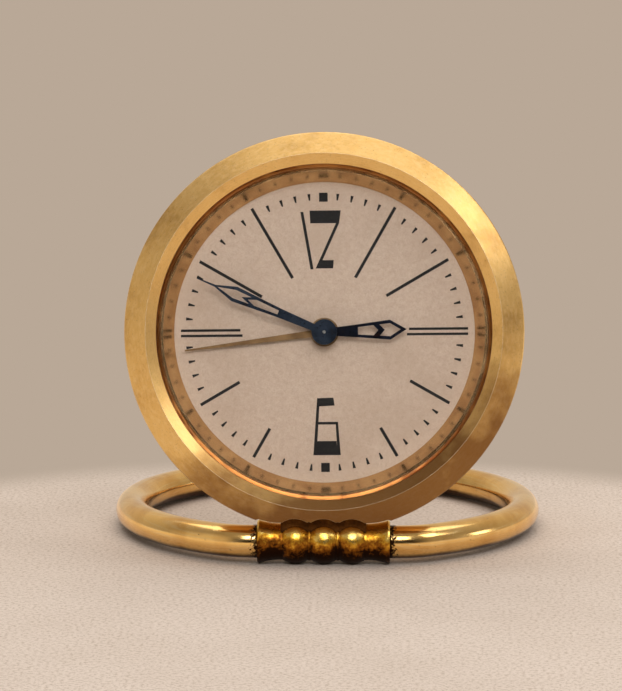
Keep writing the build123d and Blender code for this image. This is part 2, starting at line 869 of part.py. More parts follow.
with BuildPart() as rear_plate:
    with BuildSketch(level(rear_plate_rear)):
        Circle(plate_radius)
        with Locations(*pillar_places):
            Circle(pillar_screw_radius + pivot_gap, mode=Mode.SUBTRACT)
        with Locations(*spacer_places):
            Circle(case_screw_radius + pivot_gap, mode=Mode.SUBTRACT)
        with Locations(third_place, fourth_place, escape_place, lever_place, balance_place):
            Circle(pivot_radius + pivot_gap, mode=Mode.SUBTRACT)
        with Locations(verge_place, hammer_place):
            Circle(pivot_radius + pivot_gap, mode=Mode.SUBTRACT)
        with Locations(great_place, alarm_great_place):
            Circle(key_arbor_radius + pivot_gap, mode=Mode.SUBTRACT)
        with Locations((0, 0), alarm_arbor_place):
            Circle(knob_arbor_radius + pivot_gap, mode=Mode.SUBTRACT)
    extrude(amount=plate_thickness)
rear_plate.part.label = "rear_plate"

# Pillars: riveted to the front plate, drilled for the rear screws
with BuildPart() as plate_pillars:
    for pillar_place in pillar_places:
        add(
            turned(
                pillar_place,
                (pillar_radius, front_plate_rear, rear_plate_front),
                (rivet_radius - pivot_gap, front_plate_front, front_plate_rear),
            )
        )
    for pillar_place in pillar_places:
        add(
            turned(
                pillar_place,
                (pillar_screw_radius + pivot_gap, rear_plate_front + pillar_screw_length, rear_plate_front),
            ),
            mode=Mode.SUBTRACT,
        )
plate_pillars.part.label = "plate_pillars"

with BuildPart() as pillar_screws:
    for pillar_place in pillar_places:
        add(
            turned(
                pillar_place,
                (screw_head_radius, rear_plate_rear, rear_plate_rear - screw_head_height),
                (pillar_screw_radius, rear_plate_front + pillar_screw_length - pivot_gap, rear_plate_rear),
            )
        )
pillar_screws.part.label = "pillar_screws"

# Spacers and case screws: they hold the movement to the back cover
with BuildPart() as case_spacers:
    for spacer_place in spacer_places:
        add(turned(spacer_place, (spacer_radius, rear_plate_rear, back_inside)))
    for spacer_place in spacer_places:
        add(
            turned(spacer_place, (case_screw_radius + pivot_gap, rear_plate_rear, back_inside)),
            mode=Mode.SUBTRACT,
        )
case_spacers.part.label = "case_spacers"

with BuildPart() as case_screws:
    for spacer_place in spacer_places:
        add(
            turned(
                spacer_place,
                (screw_head_radius, -back_depth, -back_depth - screw_head_height),
                (case_screw_radius, rear_plate_front, -back_depth),
            )
        )
    with BuildSketch(level(-back_depth - screw_head_height)):
        with Locations(*spacer_places):
            Rectangle(2 * screw_head_radius + screw_slot_width, screw_slot_width)
    extrude(amount=screw_slot_depth, mode=Mode.SUBTRACT)
case_screws.part.label = "case_screws"


def spring_barrel(place, teeth, module, phase):
    # A toothed spring barrel: a thin cup with its teeth round the front edge.
    drum = module * teeth / 2 - spring_barrel_clearance
    inner_front = -great_front - spring_barrel_wall
    inner_rear = spring_barrel_wall - spring_barrel_rear
    with BuildPart() as work:
        add(gear(place, teeth, module, phase, -great_front, great_rim))
        add(turned(place, (drum, -great_front, -spring_barrel_rear)))
        add(
            turned(
                place,
                (drum - spring_barrel_wall, inner_front, inner_rear),
                (core_radius - spring_barrel_wall, -great_front, -spring_barrel_rear),
            ),
            mode=Mode.SUBTRACT,
        )
    return work.part


def mainspring(place, teeth, module):
    # The wound spring as one pack, clear of its arbor's core.
    drum = module * teeth / 2 - spring_barrel_clearance - spring_barrel_wall
    front = -great_front - spring_barrel_wall - pivot_gap
    rear = spring_barrel_wall - spring_barrel_rear + pivot_gap
    with BuildPart() as work:
        add(turned(place, (drum - pivot_gap, front, rear)))
        add(turned(place, (core_radius + spring_gap, front, rear)), mode=Mode.SUBTRACT)
    return work.part


def key_arbor(place):
    # The arbor that a key turns, with the core that the mainspring hooks on.
    core_front = -great_front - spring_barrel_wall - spring_gap
    core_rear = spring_barrel_wall - spring_barrel_rear + spring_gap
    return turned(
        place,
        (core_radius - pivot_gap * 2, core_front, core_rear),
        (key_arbor_radius, front_plate_front, -back_depth - back_clearance - key_hub_length),
    )


def ratchet_wheel(place):
    # The winding ratchet behind the rear plate.
    front = rear_plate_rear - ratchet_gap
    corners = []
    for tooth in range(ratchet_teeth):
        corners.append(place_at(ratchet_radius, tooth * 360 / ratchet_teeth))
        undercut = (tooth + undercut_share) * 360 / ratchet_teeth
        corners.append(place_at(ratchet_radius - ratchet_tooth, undercut))
    with BuildPart() as work:
        with BuildSketch(level(front, place)):
            with BuildLine():
                Polyline(*corners, close=True)
            make_face()
            Circle(key_arbor_radius, mode=Mode.SUBTRACT)
        extrude(amount=-ratchet_sheet)
    return work.part


def ratchet_click(place, bearing):
    # The click on its screw, lifted just clear of the ratchet's tooth tips.
    pivot = place_at(click_distance, bearing, place)
    front = rear_plate_rear - ratchet_gap
    reach = click_distance - ratchet_radius - click_clearance
    with BuildPart() as work:
        with BuildSketch(level(front, pivot, bearing + 180)):
            Circle(click_width / 2 + click_clearance)
            with BuildLine():
                Polyline(
                    (0, click_width / 2),
                    (reach, click_length),
                    (reach - click_width / 2, click_length),
                    (-click_width / 2, 0),
                    close=True,
                )
            make_face()
        extrude(amount=-ratchet_sheet)
        screw_end = front - ratchet_sheet - screw_head_height / 2
        add(turned(pivot, (click_screw_radius, rear_plate_rear, screw_end)))
    return work.part


def winding_key(place):
    # A butterfly key: a round hub and two flat wings with eyes.
    hub_front = -back_depth - back_clearance
    hub_rear = hub_front - key_hub_length
    lobe_depth = hub_front - key_lobe_rise
    with BuildPart() as work:
        add(turned(place, (key_hub_radius, hub_front, hub_rear)))
        with BuildSketch(section(place)):
            with Locations((-key_lobe_reach, lobe_depth), (key_lobe_reach, lobe_depth)):
                Circle(key_lobe_radius)
            with Locations((0, hub_front - (key_lobe_rise + key_hub_length / 2) / 2)):
                Rectangle(2 * key_hub_radius, key_lobe_rise - key_hub_length / 2)
            with Locations((-key_lobe_reach, lobe_depth), (key_lobe_reach, lobe_depth)):
                Circle(key_eye_radius, mode=Mode.SUBTRACT)
        extrude(amount=key_sheet / 2, both=True)
        add(turned(place, (key_arbor_radius, hub_front, hub_rear)), mode=Mode.SUBTRACT)
    return work.part


def knurled_knob(place):
    # A setting knob with a grooved edge.
    front = -back_depth - back_clearance
    corners = []
    for knurl in range(knurl_count):
        corners.append(place_at(knob_radius, knurl * 360 / knurl_count))
        corners.append(place_at(knob_radius - knurl_depth, (2 * knurl + 1) * 180 / knurl_count))
    with BuildPart() as work:
        with BuildSketch(level(front, place)):
            with BuildLine():
                Polyline(*corners, close=True)
            make_face()
            Circle(knob_arbor_radius, mode=Mode.SUBTRACT)
        extrude(amount=-knob_length)
    return work.part


# Time spring barrel, its spring, arbor, ratchet, click and key
with BuildPart() as time_barrel:
    add(spring_barrel(great_place, great_teeth, great_module, great_bearing + 180))
time_barrel.part.label = "time_barrel"

with BuildPart() as time_mainspring:
    add(mainspring(great_place, great_teeth, great_module))
time_mainspring.part.label = "time_mainspring"

with BuildPart() as time_key_arbor:
    add(key_arbor(great_place))
time_key_arbor.part.label = "time_key_arbor"

with BuildPart() as time_ratchet_wheel:
    add(ratchet_wheel(great_place))
time_ratchet_wheel.part.label = "time_ratchet_wheel"

with BuildPart() as time_click:
    add(ratchet_click(great_place, click_bearing))
time_click.part.label = "time_click"

with BuildPart() as time_key:
    add(winding_key(great_place))
time_key.part.label = "time_key"

# Alarm spring barrel, its spring, arbor, ratchet, click and key
with BuildPart() as alarm_barrel:
    add(spring_barrel(alarm_great_place, alarm_great_teeth, alarm_great_module, verge_bearing))
alarm_barrel.part.label = "alarm_barrel"

with BuildPart() as alarm_mainspring:
    add(mainspring(alarm_great_place, alarm_great_teeth, alarm_great_module))
alarm_mainspring.part.label = "alarm_mainspring"

with BuildPart() as alarm_key_arbor:
    add(key_arbor(alarm_great_place))
alarm_key_arbor.part.label = "alarm_key_arbor"

with BuildPart() as alarm_ratchet_wheel:
    add(ratchet_wheel(alarm_great_place))
alarm_ratchet_wheel.part.label = "alarm_ratchet_wheel"

with BuildPart() as alarm_click:
    add(ratchet_click(alarm_great_place, 180 - click_bearing))
alarm_click.part.label = "alarm_click"

with BuildPart() as alarm_key:
    add(winding_key(alarm_great_place))
alarm_key.part.label = "alarm_key"

# Centre arbor: through the whole movement, from the hand setting knob to the hands' tip
with BuildPart() as centre_arbor:
    add(
        turned(
            (0, 0),
            (arbor_tip_radius, arbor_tip_height, pipe_front),
            (centre_arbor_radius, pipe_front, rear_plate_front),
            (knob_arbor_radius, rear_plate_front, -back_depth - back_clearance - knob_length),
        )
    )
centre_arbor.part.label = "centre_arbor"

with BuildPart() as hand_setting_knob:
    add(knurled_knob((0, 0)))
hand_setting_knob.part.label = "hand_setting_knob"

# Centre wheel: it carries the train's load and slips on the centre arbor when the hands are set
with BuildPart() as centre_wheel:
    add(gear((0, 0), centre_teeth, centre_module, third_bearing, -centre_wheel_front, wheel_sheet))
    add(
        gear(
            (0, 0),
            centre_pinion_leaves,
            great_module,
            great_bearing + 180 / centre_pinion_leaves,
            -centre_pinion_front,
            centre_pinion_rear - centre_pinion_front,
        )
    )
    add(turned((0, 0), (arbor_radius * 2, -centre_pinion_rear, -centre_wheel_front)))
    add(
        turned((0, 0), (centre_arbor_radius + pivot_gap, -centre_pinion_front, rear_plate_front)),
        mode=Mode.SUBTRACT,
    )
centre_wheel.part.label = "centre_wheel"


def train_arbor(place, front=front_plate_front, rear=rear_plate_rear):
    # A train arbor with thinner pivots in the two plates.
    return turned(
        place,
        (arbor_radius, front_plate_rear - pivot_gap, rear_plate_front + pivot_gap),
        (pivot_radius, front, rear),
    )


# Third wheel
with BuildPart() as third_wheel:
    add(train_arbor(third_place))
    add(gear(third_place, third_teeth, third_module, fourth_bearing, -third_wheel_front, wheel_sheet))
    add(
        gear(
            third_place,
            third_leaves,
            centre_module,
            third_bearing + 180 + 180 / third_leaves,
            -third_pinion_front,
            third_pinion_rear - third_pinion_front,
        )
    )
third_wheel.part.label = "third_wheel"

# Fourth wheel
with BuildPart() as fourth_wheel:
    add(train_arbor(fourth_place))
    add(gear(fourth_place, fourth_teeth, fourth_module, escape_bearing, -fourth_wheel_front, wheel_sheet))
    add(
        gear(
            fourth_place,
            fourth_leaves,
            third_module,
            fourth_bearing + 180 + 180 / fourth_leaves,
            -fourth_pinion_front,
            fourth_pinion_rear - fourth_pinion_front,
        )
    )
fourth_wheel.part.label = "fourth_wheel"

# Escape wheel
with BuildPart() as escape_wheel:
    add(train_arbor(escape_place))
    add(
        pointed_wheel(
            escape_place,
            escape_teeth,
            escape_tip_radius,
            escape_root_radius,
            lever_bearing + escape_phase,
            -escape_wheel_front,
            wheel_sheet,
        )
    )
    add(
        gear(
            escape_place,
            escape_leaves,
            fourth_module,
            escape_bearing + 180 + 180 / escape_leaves,
            -escape_pinion_front,
            escape_pinion_rear - escape_pinion_front,
        )
    )
escape_wheel.part.label = "escape_wheel"

# Pallet lever: two pallets over the escape wheel, a fork at the balance
with BuildPart() as pallet_lever:
    add(train_arbor(lever_place))
    with BuildSketch(level(-escape_wheel_front, lever_place, lever_bearing)):
        fork_length = fork_reach - impulse_radius + fork_slot_depth / 2
        with Locations((fork_length / 2, 0)):
            Rectangle(fork_length, lever_width)
        with Locations((fork_length - fork_slot_depth, 0)):
            Rectangle(2 * fork_slot_depth, fork_width)
        Circle(lever_hub_radius)
        for side in (-1, 1):
            with BuildLine():
                Polyline(
                    (lever_width / 2, 0),
                    (0, side * lever_width),
                    (-pallet_width, side * (pallet_span + pallet_width)),
                    (-pallet_reach, side * (pallet_span + pallet_width)),
                    (-pallet_reach, side * pallet_span),
                    (-2 * pallet_width, side * pallet_span),
                    (-lever_width / 2, 0),
                    close=True,
                )
            make_face()
        with Locations((fork_length, 0)):
            Rectangle(2 * fork_slot_depth, 2 * (impulse_pin_radius + impulse_gap), mode=Mode.SUBTRACT)
    extrude(amount=-lever_sheet)
pallet_lever.part.label = "pallet_lever"

# Balance wheel: rim, spokes, staff, and the roller with its impulse pin
with BuildPart() as balance_wheel:
    with BuildSketch(level(-balance_front, balance_place, lever_bearing)):
        Circle(balance_radius)
        Circle(balance_radius - balance_rim, mode=Mode.SUBTRACT)
        Rectangle(balance_spoke, 2 * balance_radius - balance_rim)
        Circle(balance_spoke)
    extrude(amount=-balance_thickness)
    add(turned(balance_place, (roller_radius, -roller_front, -roller_front - roller_thickness)))
    add(train_arbor(balance_place))
    pin_place = place_at(impulse_radius, lever_bearing + 180, balance_place)
    add(turned(pin_place, (impulse_pin_radius, -escape_wheel_front, -roller_front)))
balance_wheel.part.label = "balance_wheel"

# Hairspring: a flat spiral round the balance staff, in half turns that step outwards
with BuildPart() as hairspring:
    with BuildSketch(level(-hairspring_front, balance_place)):
        with BuildLine():
            for half_turn in range(2 * hairspring_turn_count):
                spiral_radius = hairspring_inner + half_turn * hairspring_pitch / 2
                shift = hairspring_pitch / 4 * (1 if half_turn % 2 else -1)
                CenterArc((shift, 0), spiral_radius, 180 * (half_turn % 2), 180)
            outline = offset(amount=hairspring_wire / 2)
        make_face()
    extrude(amount=-hairspring_height)
hairspring.part.label = "hairspring"

# Cannon pinion: friction-tight on the centre arbor, it carries the minute hand
with BuildPart() as cannon_pinion:
    cannon_rear = front_plate_front + pivot_gap
    add(
        gear(
            (0, 0),
            cannon_leaves,
            motion_module,
            minute_wheel_bearing + 180 / cannon_leaves,
            -cannon_front,
            -cannon_front - cannon_rear,
        )
    )
    add(turned((0, 0), (cannon_pipe_radius, pipe_front, -cannon_front)))
    add(turned((0, 0), (centre_arbor_radius, pipe_front, cannon_rear)), mode=Mode.SUBTRACT)
cannon_pinion.part.label = "cannon_pinion"

# Minute wheel and its pinion on a stud of the front plate
with BuildPart() as minute_wheel:
    add(
        gear(
            minute_wheel_place,
            minute_wheel_teeth,
            motion_module,
            minute_wheel_bearing + 180,
            front_plate_front + pivot_gap + wheel_sheet,
            wheel_sheet,
        )
    )
    add(
        gear(
            minute_wheel_place,
            minute_pinion_leaves,
            hour_module,
            minute_wheel_bearing + 180 + 180 / minute_pinion_leaves,
            -minute_pinion_front,
            -minute_pinion_front - front_plate_front - pivot_gap,
        )
    )
    add(
        turned(minute_wheel_place, (pivot_radius + pivot_gap, -minute_pinion_front, front_plate_front)),
        mode=Mode.SUBTRACT,
    )
minute_wheel.part.label = "minute_wheel"

with BuildPart() as minute_wheel_stud:
    add(turned(minute_wheel_place, (pivot_radius, -minute_pinion_front, front_plate_front)))
minute_wheel_stud.part.label = "minute_wheel_stud"


def pipe_wheel(teeth, module, phase, front, sheet, pipe, bore, top):
    # A motion wheel on the dial's axis: a toothed disc, and a pipe up through the dial for its hand.
    with BuildPart() as work:
        add(gear((0, 0), teeth, module, phase, front, sheet))
        add(turned((0, 0), (pipe, top, front)))
        add(turned((0, 0), (bore, top, front - sheet)), mode=Mode.SUBTRACT)
    return work.part


# Hour wheel: its pipe runs on the cannon pinion and carries the hour hand
with BuildPart() as hour_wheel:
    add(
        pipe_wheel(
            hour_wheel_teeth,
            hour_module,
            minute_wheel_bearing,
            -hour_wheel_front,
            hour_wheel_sheet,
            hour_pipe_radius,
            cannon_pipe_radius + pivot_gap,
            hour_hand_height + hand_sheet,
        )
    )
hour_wheel.part.label = "hour_wheel"

# Alarm wheel: its pipe runs on the hour wheel's pipe and carries the alarm hand
with BuildPart() as alarm_wheel:
    add(
        pipe_wheel(
            alarm_wheel_teeth,
            alarm_module,
            alarm_arbor_bearing,
            -alarm_wheel_front,
            alarm_wheel_sheet,
            alarm_pipe_radius,
            hour_pipe_radius + pivot_gap,
            alarm_hand_height + hand_sheet,
        )
    )
alarm_wheel.part.label = "alarm_wheel"

# Alarm setting arbor with its pinion and knob
with BuildPart() as alarm_setting_arbor:
    add(
        turned(
            alarm_arbor_place,
            (knob_arbor_radius, -alarm_wheel_front, -back_depth - back_clearance - knob_length),
        )
    )
    add(
        gear(
            alarm_arbor_place,
            alarm_pinion_leaves,
            alarm_module,
            alarm_arbor_bearing + 180 + 180 / alarm_pinion_leaves,
            -alarm_wheel_front,
            -alarm_wheel_front - front_plate_front - pivot_gap,
        )
    )
alarm_setting_arbor.part.label = "alarm_setting_arbor"

with BuildPart() as alarm_setting_knob:
    add(knurled_knob(alarm_arbor_place))
alarm_setting_knob.part.label = "alarm_setting_knob"

# Alarm verge wheel, driven by the alarm barrel
with BuildPart() as alarm_verge_wheel:
    add(train_arbor(verge_place))
    add(
        pointed_wheel(
            verge_place,
            verge_teeth,
            verge_tip_radius,
            verge_root_radius,
            hammer_bearing,
            -verge_wheel_front,
            wheel_sheet,
        )
    )
    add(
        gear(
            verge_place,
            verge_leaves,
            alarm_great_module,
            verge_bearing + 180 + 180 / verge_leaves,
            -verge_pinion_front,
            verge_pinion_rear - verge_pinion_front,
        )
    )
alarm_verge_wheel.part.label = "alarm_verge_wheel"

# Alarm hammer: a horn beside the verge wheel and a head that strikes the drum
with BuildPart() as alarm_hammer:
    add(train_arbor(hammer_place))
    with BuildSketch(level(-verge_wheel_front, hammer_place, hammer_arm_bearing)):
        with Locations((hammer_arm / 2, 0)):
            Rectangle(hammer_arm, hammer_width)
        Circle(hammer_width)
    extrude(amount=-wheel_sheet)
    head_place = place_at(hammer_arm, hammer_arm_bearing, hammer_place)
    add(turned(head_place, (hammer_head_radius, -hammer_head_front, -verge_wheel_front - wheel_sheet)))
    with BuildSketch(level(-verge_wheel_front, hammer_place, hammer_bearing + 180)):
        horn = hammer_distance - verge_tip_radius - hammer_swing_gap
        with Locations((horn / 2, 0)):
            Rectangle(horn, hammer_width)
    extrude(amount=-wheel_sheet)
alarm_hammer.part.label = "alarm_hammer"

# Alarm stop button, pushed in against its spring
with BuildPart() as alarm_stop_button:
    button_front = -back_depth - back_clearance - button_travel
    collar_rear = back_inside + seat_gap * 2
    add(
        turned(
            button_place,
            (button_radius, button_front, button_front - button_height),
            (button_stem_radius, collar_rear + button_collar_height + button_travel / 2, button_front),
            (button_collar_radius, collar_rear + button_collar_height, collar_rear),
        )
    )
alarm_stop_button.part.label = "alarm_stop_button"

with BuildPart() as stop_button_spring:
    spring_front = rear_plate_rear - seat_gap
    spring_rear = collar_rear + button_collar_height + seat_gap
    spring_bore = button_stem_radius + pivot_gap * 2
    add(turned(button_place, (spring_bore + button_spring_wall, spring_front, spring_rear)))
    add(turned(button_place, (spring_bore, spring_front, spring_rear)), mode=Mode.SUBTRACT)
stop_button_spring.part.label = "stop_button_spring"

# Regulator lever behind the rear plate, its tab in the back cover's slot
with BuildPart() as regulator_lever:
    regulator_front = rear_plate_rear - seat_gap
    with BuildSketch(level(regulator_front, balance_place, regulator_bearing)):
        with Locations((regulator_length / 2, 0)):
            Rectangle(regulator_length, regulator_width)
        Circle(regulator_hub_radius)
    extrude(amount=-regulator_sheet)
    with BuildSketch(level(regulator_front, balance_place, regulator_bearing)):
        with Locations((regulator_slot_radius, 0)):
            Rectangle(regulator_width, regulator_width)
    extrude(amount=-regulator_tab_height)
    add(
        turned(balance_place, (pivot_radius + seat_gap, regulator_front, regulator_front - regulator_sheet)),
        mode=Mode.SUBTRACT,
    )
regulator_lever.part.label = "regulator_lever"


for piece in (
    bezel, crystal, reflector_ring, dial, case_drum, back_cover, hinge_barrel, barrel_saddle, saddle_screws,
    ring_stand, ring_joint_pin, minute_hand, hour_hand, alarm_hand, dial_rest_ring, front_plate, rear_plate,
    plate_pillars, pillar_screws, case_spacers, case_screws, time_barrel, time_mainspring, time_key_arbor,
    time_ratchet_wheel, time_click, time_key, alarm_barrel, alarm_mainspring, alarm_key_arbor,
    alarm_ratchet_wheel, alarm_click, alarm_key, centre_arbor, hand_setting_knob, centre_wheel, third_wheel,
    fourth_wheel, escape_wheel, pallet_lever, balance_wheel, hairspring, cannon_pinion, minute_wheel,
    minute_wheel_stud, hour_wheel, alarm_wheel, alarm_setting_arbor, alarm_setting_knob, alarm_verge_wheel,
    alarm_hammer, alarm_stop_button, stop_button_spring, regulator_lever,
):
    export_step(piece.part, f"parts/{piece.part.label}.step")
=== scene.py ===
import json
from math import cos, radians, sin

import bpy
import numpy as np
from mathutils import Matrix, Vector


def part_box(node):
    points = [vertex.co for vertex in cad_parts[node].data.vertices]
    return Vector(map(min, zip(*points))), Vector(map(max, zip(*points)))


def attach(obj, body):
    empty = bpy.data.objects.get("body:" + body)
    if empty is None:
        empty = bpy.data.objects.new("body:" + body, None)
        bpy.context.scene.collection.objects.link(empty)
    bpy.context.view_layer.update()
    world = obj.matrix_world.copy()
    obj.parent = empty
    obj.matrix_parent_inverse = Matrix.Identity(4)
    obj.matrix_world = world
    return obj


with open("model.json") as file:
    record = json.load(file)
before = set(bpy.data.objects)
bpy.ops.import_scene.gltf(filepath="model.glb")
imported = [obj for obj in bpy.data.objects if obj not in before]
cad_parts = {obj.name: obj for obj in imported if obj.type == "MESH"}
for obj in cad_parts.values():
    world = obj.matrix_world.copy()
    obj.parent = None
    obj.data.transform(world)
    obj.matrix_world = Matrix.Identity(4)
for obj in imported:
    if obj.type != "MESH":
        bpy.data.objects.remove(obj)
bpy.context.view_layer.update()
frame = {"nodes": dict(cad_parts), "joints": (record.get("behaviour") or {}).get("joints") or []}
mm = 0.001
print("stage: frame loaded,", len(frame["nodes"]), "nodes")

# The dial's own axes: its centre, its outward normal and its upward direction
joints = {joint["name"]: joint for joint in frame["joints"]}
dialCentre = np.array(joints["minute_hand_turn"]["pos_m"])
dialOut = np.array(joints["minute_hand_turn"]["axis"])
dialUp = np.array((0.0, dialOut[2], -dialOut[1]))
dialAcross = np.array((1.0, 0.0, 0.0))
hingePoint = np.array(joints["ring_fold"]["pos_m"])


# Camera
camera = {
    "lens": 183.3,  # the photograph's field, read from the bezel's and the ring's ellipses
    "sensor": 36.0,
    "distance": 0.662,
    "down": 9.0,  # degrees below the horizon
    "aside": 1.4,  # degrees round to the right
    "frame": (622, 691),
    "caseAt": (324.5, 332.3),  # where the dial's centre falls in the frame
    "clips": (0.01, 20),
}


def makeCamera(c):
    down, aside = radians(c["down"]), radians(c["aside"])
    forward = Vector((-sin(aside) * cos(down), cos(aside) * cos(down), -sin(down)))
    right = Vector((cos(aside), sin(aside), 0.0))
    up = right.cross(forward)
    wide, high = c["frame"]
    focal = c["lens"] / c["sensor"] * high
    shiftRight = (c["caseAt"][0] - wide / 2) / focal * c["distance"]
    shiftUp = (high / 2 - c["caseAt"][1]) / focal * c["distance"]
    data = bpy.data.cameras.new("camera")
    data.lens = c["lens"]
    data.sensor_width = c["sensor"]
    data.clip_start, data.clip_end = c["clips"]
    eye = bpy.data.objects.new("camera", data)
    turn = Matrix((right, up, -forward)).transposed().to_4x4()
    place = Vector(dialCentre) - forward * c["distance"] - right * shiftRight - up * shiftUp
    eye.matrix_world = Matrix.Translation(place) @ turn
    bpy.context.scene.collection.objects.link(eye)
    bpy.context.scene.camera = eye


makeCamera(camera)
print("stage: camera")


# Materials
grainRadius = 33 * mm  # where the lengths of turned grain are true
noiseReach = (0.3, 0.7)  # where nearly all of a noise lies
edgeSamples = 4

# Kinds of noise: Detail is how many finer octaves it has, 2 where it isn't given, and Roughness how
# strong each is beside the one before
smoothNoise = {"Roughness": 0.55}
softNoise = {"Detail": 3.0, "Roughness": 0.55}
deepNoise = {"Detail": 4.0, "Roughness": 0.55}
streakNoise = {"Detail": 3.0, "Roughness": 0.6}
mottleNoise = {"Detail": 4.0, "Roughness": 0.6}
grainNoise = {"Detail": 3.0, "Roughness": 0.65}
patchNoise = {"Detail": 4.0, "Roughness": 0.65}
pitNoise = {"Detail": 3.0, "Roughness": 0.7}
stoneNoise = {"Detail": 4.0, "Roughness": 0.75}


def linear(hexColour):
    # One sRGB hex value to linear red, green, blue and an alpha of 1
    parts = np.array([int(hexColour[i:i + 2], 16) for i in (1, 3, 5)]) / 255
    low = parts / 12.92
    high = ((parts + 0.055) / 1.055) ** 2.4
    return tuple(np.where(parts <= 0.04045, low, high)) + (1.0,)


def addNode(tree, kind, inputs=(), output=0, **settings):
    # Adds a node with its settings. Each input is given a number, a hex colour or the output that
    # it is linked to, by name or in order.
    node = tree.nodes.new("ShaderNode" + kind)
    for name, value in settings.items():
        setattr(node, name, value)
    for name, value in inputs.items() if isinstance(inputs, dict) else enumerate(inputs):
        if isinstance(value, bpy.types.NodeSocket):
            tree.links.new(value, node.inputs[name])
        else:
            node.inputs[name].default_value = linear(value) if isinstance(value, str) else value
    return node.outputs[output] if node.outputs else node


def newMaterial(name):
    made = bpy.data.materials.new(name)
    made.use_nodes = True
    made.node_tree.nodes.clear()
    return made, made.node_tree


def layer(tree, under, over, pattern, low, high, most=1.0):
    # Lays one colour over another where a pattern rises from low to high, as far as the given share
    share = addNode(tree, "MapRange", [pattern, low, high, 0.0, most])
    return addNode(tree, "Mix", {0: share, 6: under, 7: over}, 2, data_type="RGBA")


def turnedPlace(tree, centre, axis):
    # Places round an axis: radius and depth along it in metres, the way outward and the way of turning
    place = addNode(tree, "TexCoord", output="Object")
    offset = addNode(tree, "VectorMath", [place, tuple(centre)], operation="SUBTRACT")
    depth = addNode(tree, "VectorMath", [offset, tuple(axis)], "Value", operation="DOT_PRODUCT")
    along = addNode(tree, "VectorMath", {0: tuple(axis), "Scale": depth}, operation="SCALE")
    flat = addNode(tree, "VectorMath", [offset, along], operation="SUBTRACT")
    unit = addNode(tree, "VectorMath", [flat], operation="NORMALIZE")
    return {
        "place": place,
        "offset": offset,
        "depth": depth,
        "radius": addNode(tree, "VectorMath", [flat], "Value", operation="LENGTH"),
        "unit": unit,
        "turning": addNode(tree, "VectorMath", [tuple(axis), unit], operation="CROSS_PRODUCT"),
    }


def turnedGrain(tree, where, axis, length, spacing):
    # Grain that runs round an axis, long along the turning and fine across it: noise at the point
    # unit * grainRadius / length + axis * (radius + depth) / spacing
    across = addNode(tree, "Math", [where["radius"], where["depth"]], operation="ADD")
    across = addNode(tree, "Math", [across, spacing], operation="DIVIDE")
    along = addNode(tree, "VectorMath", {0: where["unit"], "Scale": grainRadius / length}, operation="SCALE")
    rise = addNode(tree, "VectorMath", {0: tuple(axis), "Scale": across}, operation="SCALE")
    spot = addNode(tree, "VectorMath", [along, rise], operation="ADD")
    return addNode(tree, "TexNoise", {"Vector": spot, "Scale": 1.0, **streakNoise})


def flatness(tree, edge):
    # 1 on faces, less along edges: the softened edge's normal times the face's own
    soft = addNode(tree, "Bevel", {"Radius": edge}, samples=edgeSamples)
    hard = addNode(tree, "NewGeometry", output="Normal")
    return addNode(tree, "VectorMath", [soft, hard], "Value", operation="DOT_PRODUCT")


def dress(nodeNames, material):
    for name in nodeNames:
        piece = frame["nodes"][name]
        for holder in piece.material_slots:
            holder.material = material
        if not piece.material_slots:
            piece.data.materials.append(material)


# Satin gilt bezel: brass turned on a lathe, brushed round with fine grit and gold plated. It gives
# broad soft lights across the bevel, painted shade down the case and to the right, and a painted highlight
# on its rubbed edges.
satin = {
    "plate": "#e7bb74",
    "shadow": "#daab64",
    "shadowSpan": (0.35, 0.7),
    "worn": "#f0c98c",
    "wornSpan": (0.42, 0.7, 0.6),
    "brown": "#714626",
    "polished": "#fff0cf",  # the turned edges, rubbed bright, with a painted highlight along them
    "edgeWearAndHighlightSpan": (0.99, 0.93, 0.8),
    "grainLength": 1.1 * mm,
    "grainSpacing": 0.17 * mm,  # real grit lines are 0.05 mm apart; drawn coarser to show at this size
    "relief": 0.0012 * mm,
    "roughness": (0.28, 0.36),
    "anisotropy": 0.5,
    "stain": 7 * mm,
    "speck": 0.24 * mm,
    "speckSpan": (0.6, 0.76, 0.45),
    "paintedShadeWay": tuple(0.3 * dialAcross - 0.95 * dialUp),  # down the case and to the right
    "paintedShadeReach": (10 * mm, 30 * mm),
    "paintedShadeShare": 0.7,
    "paintedShadeSpan": (0.55, 1.15, 0.82),
    "edge": 0.13 * mm,
}


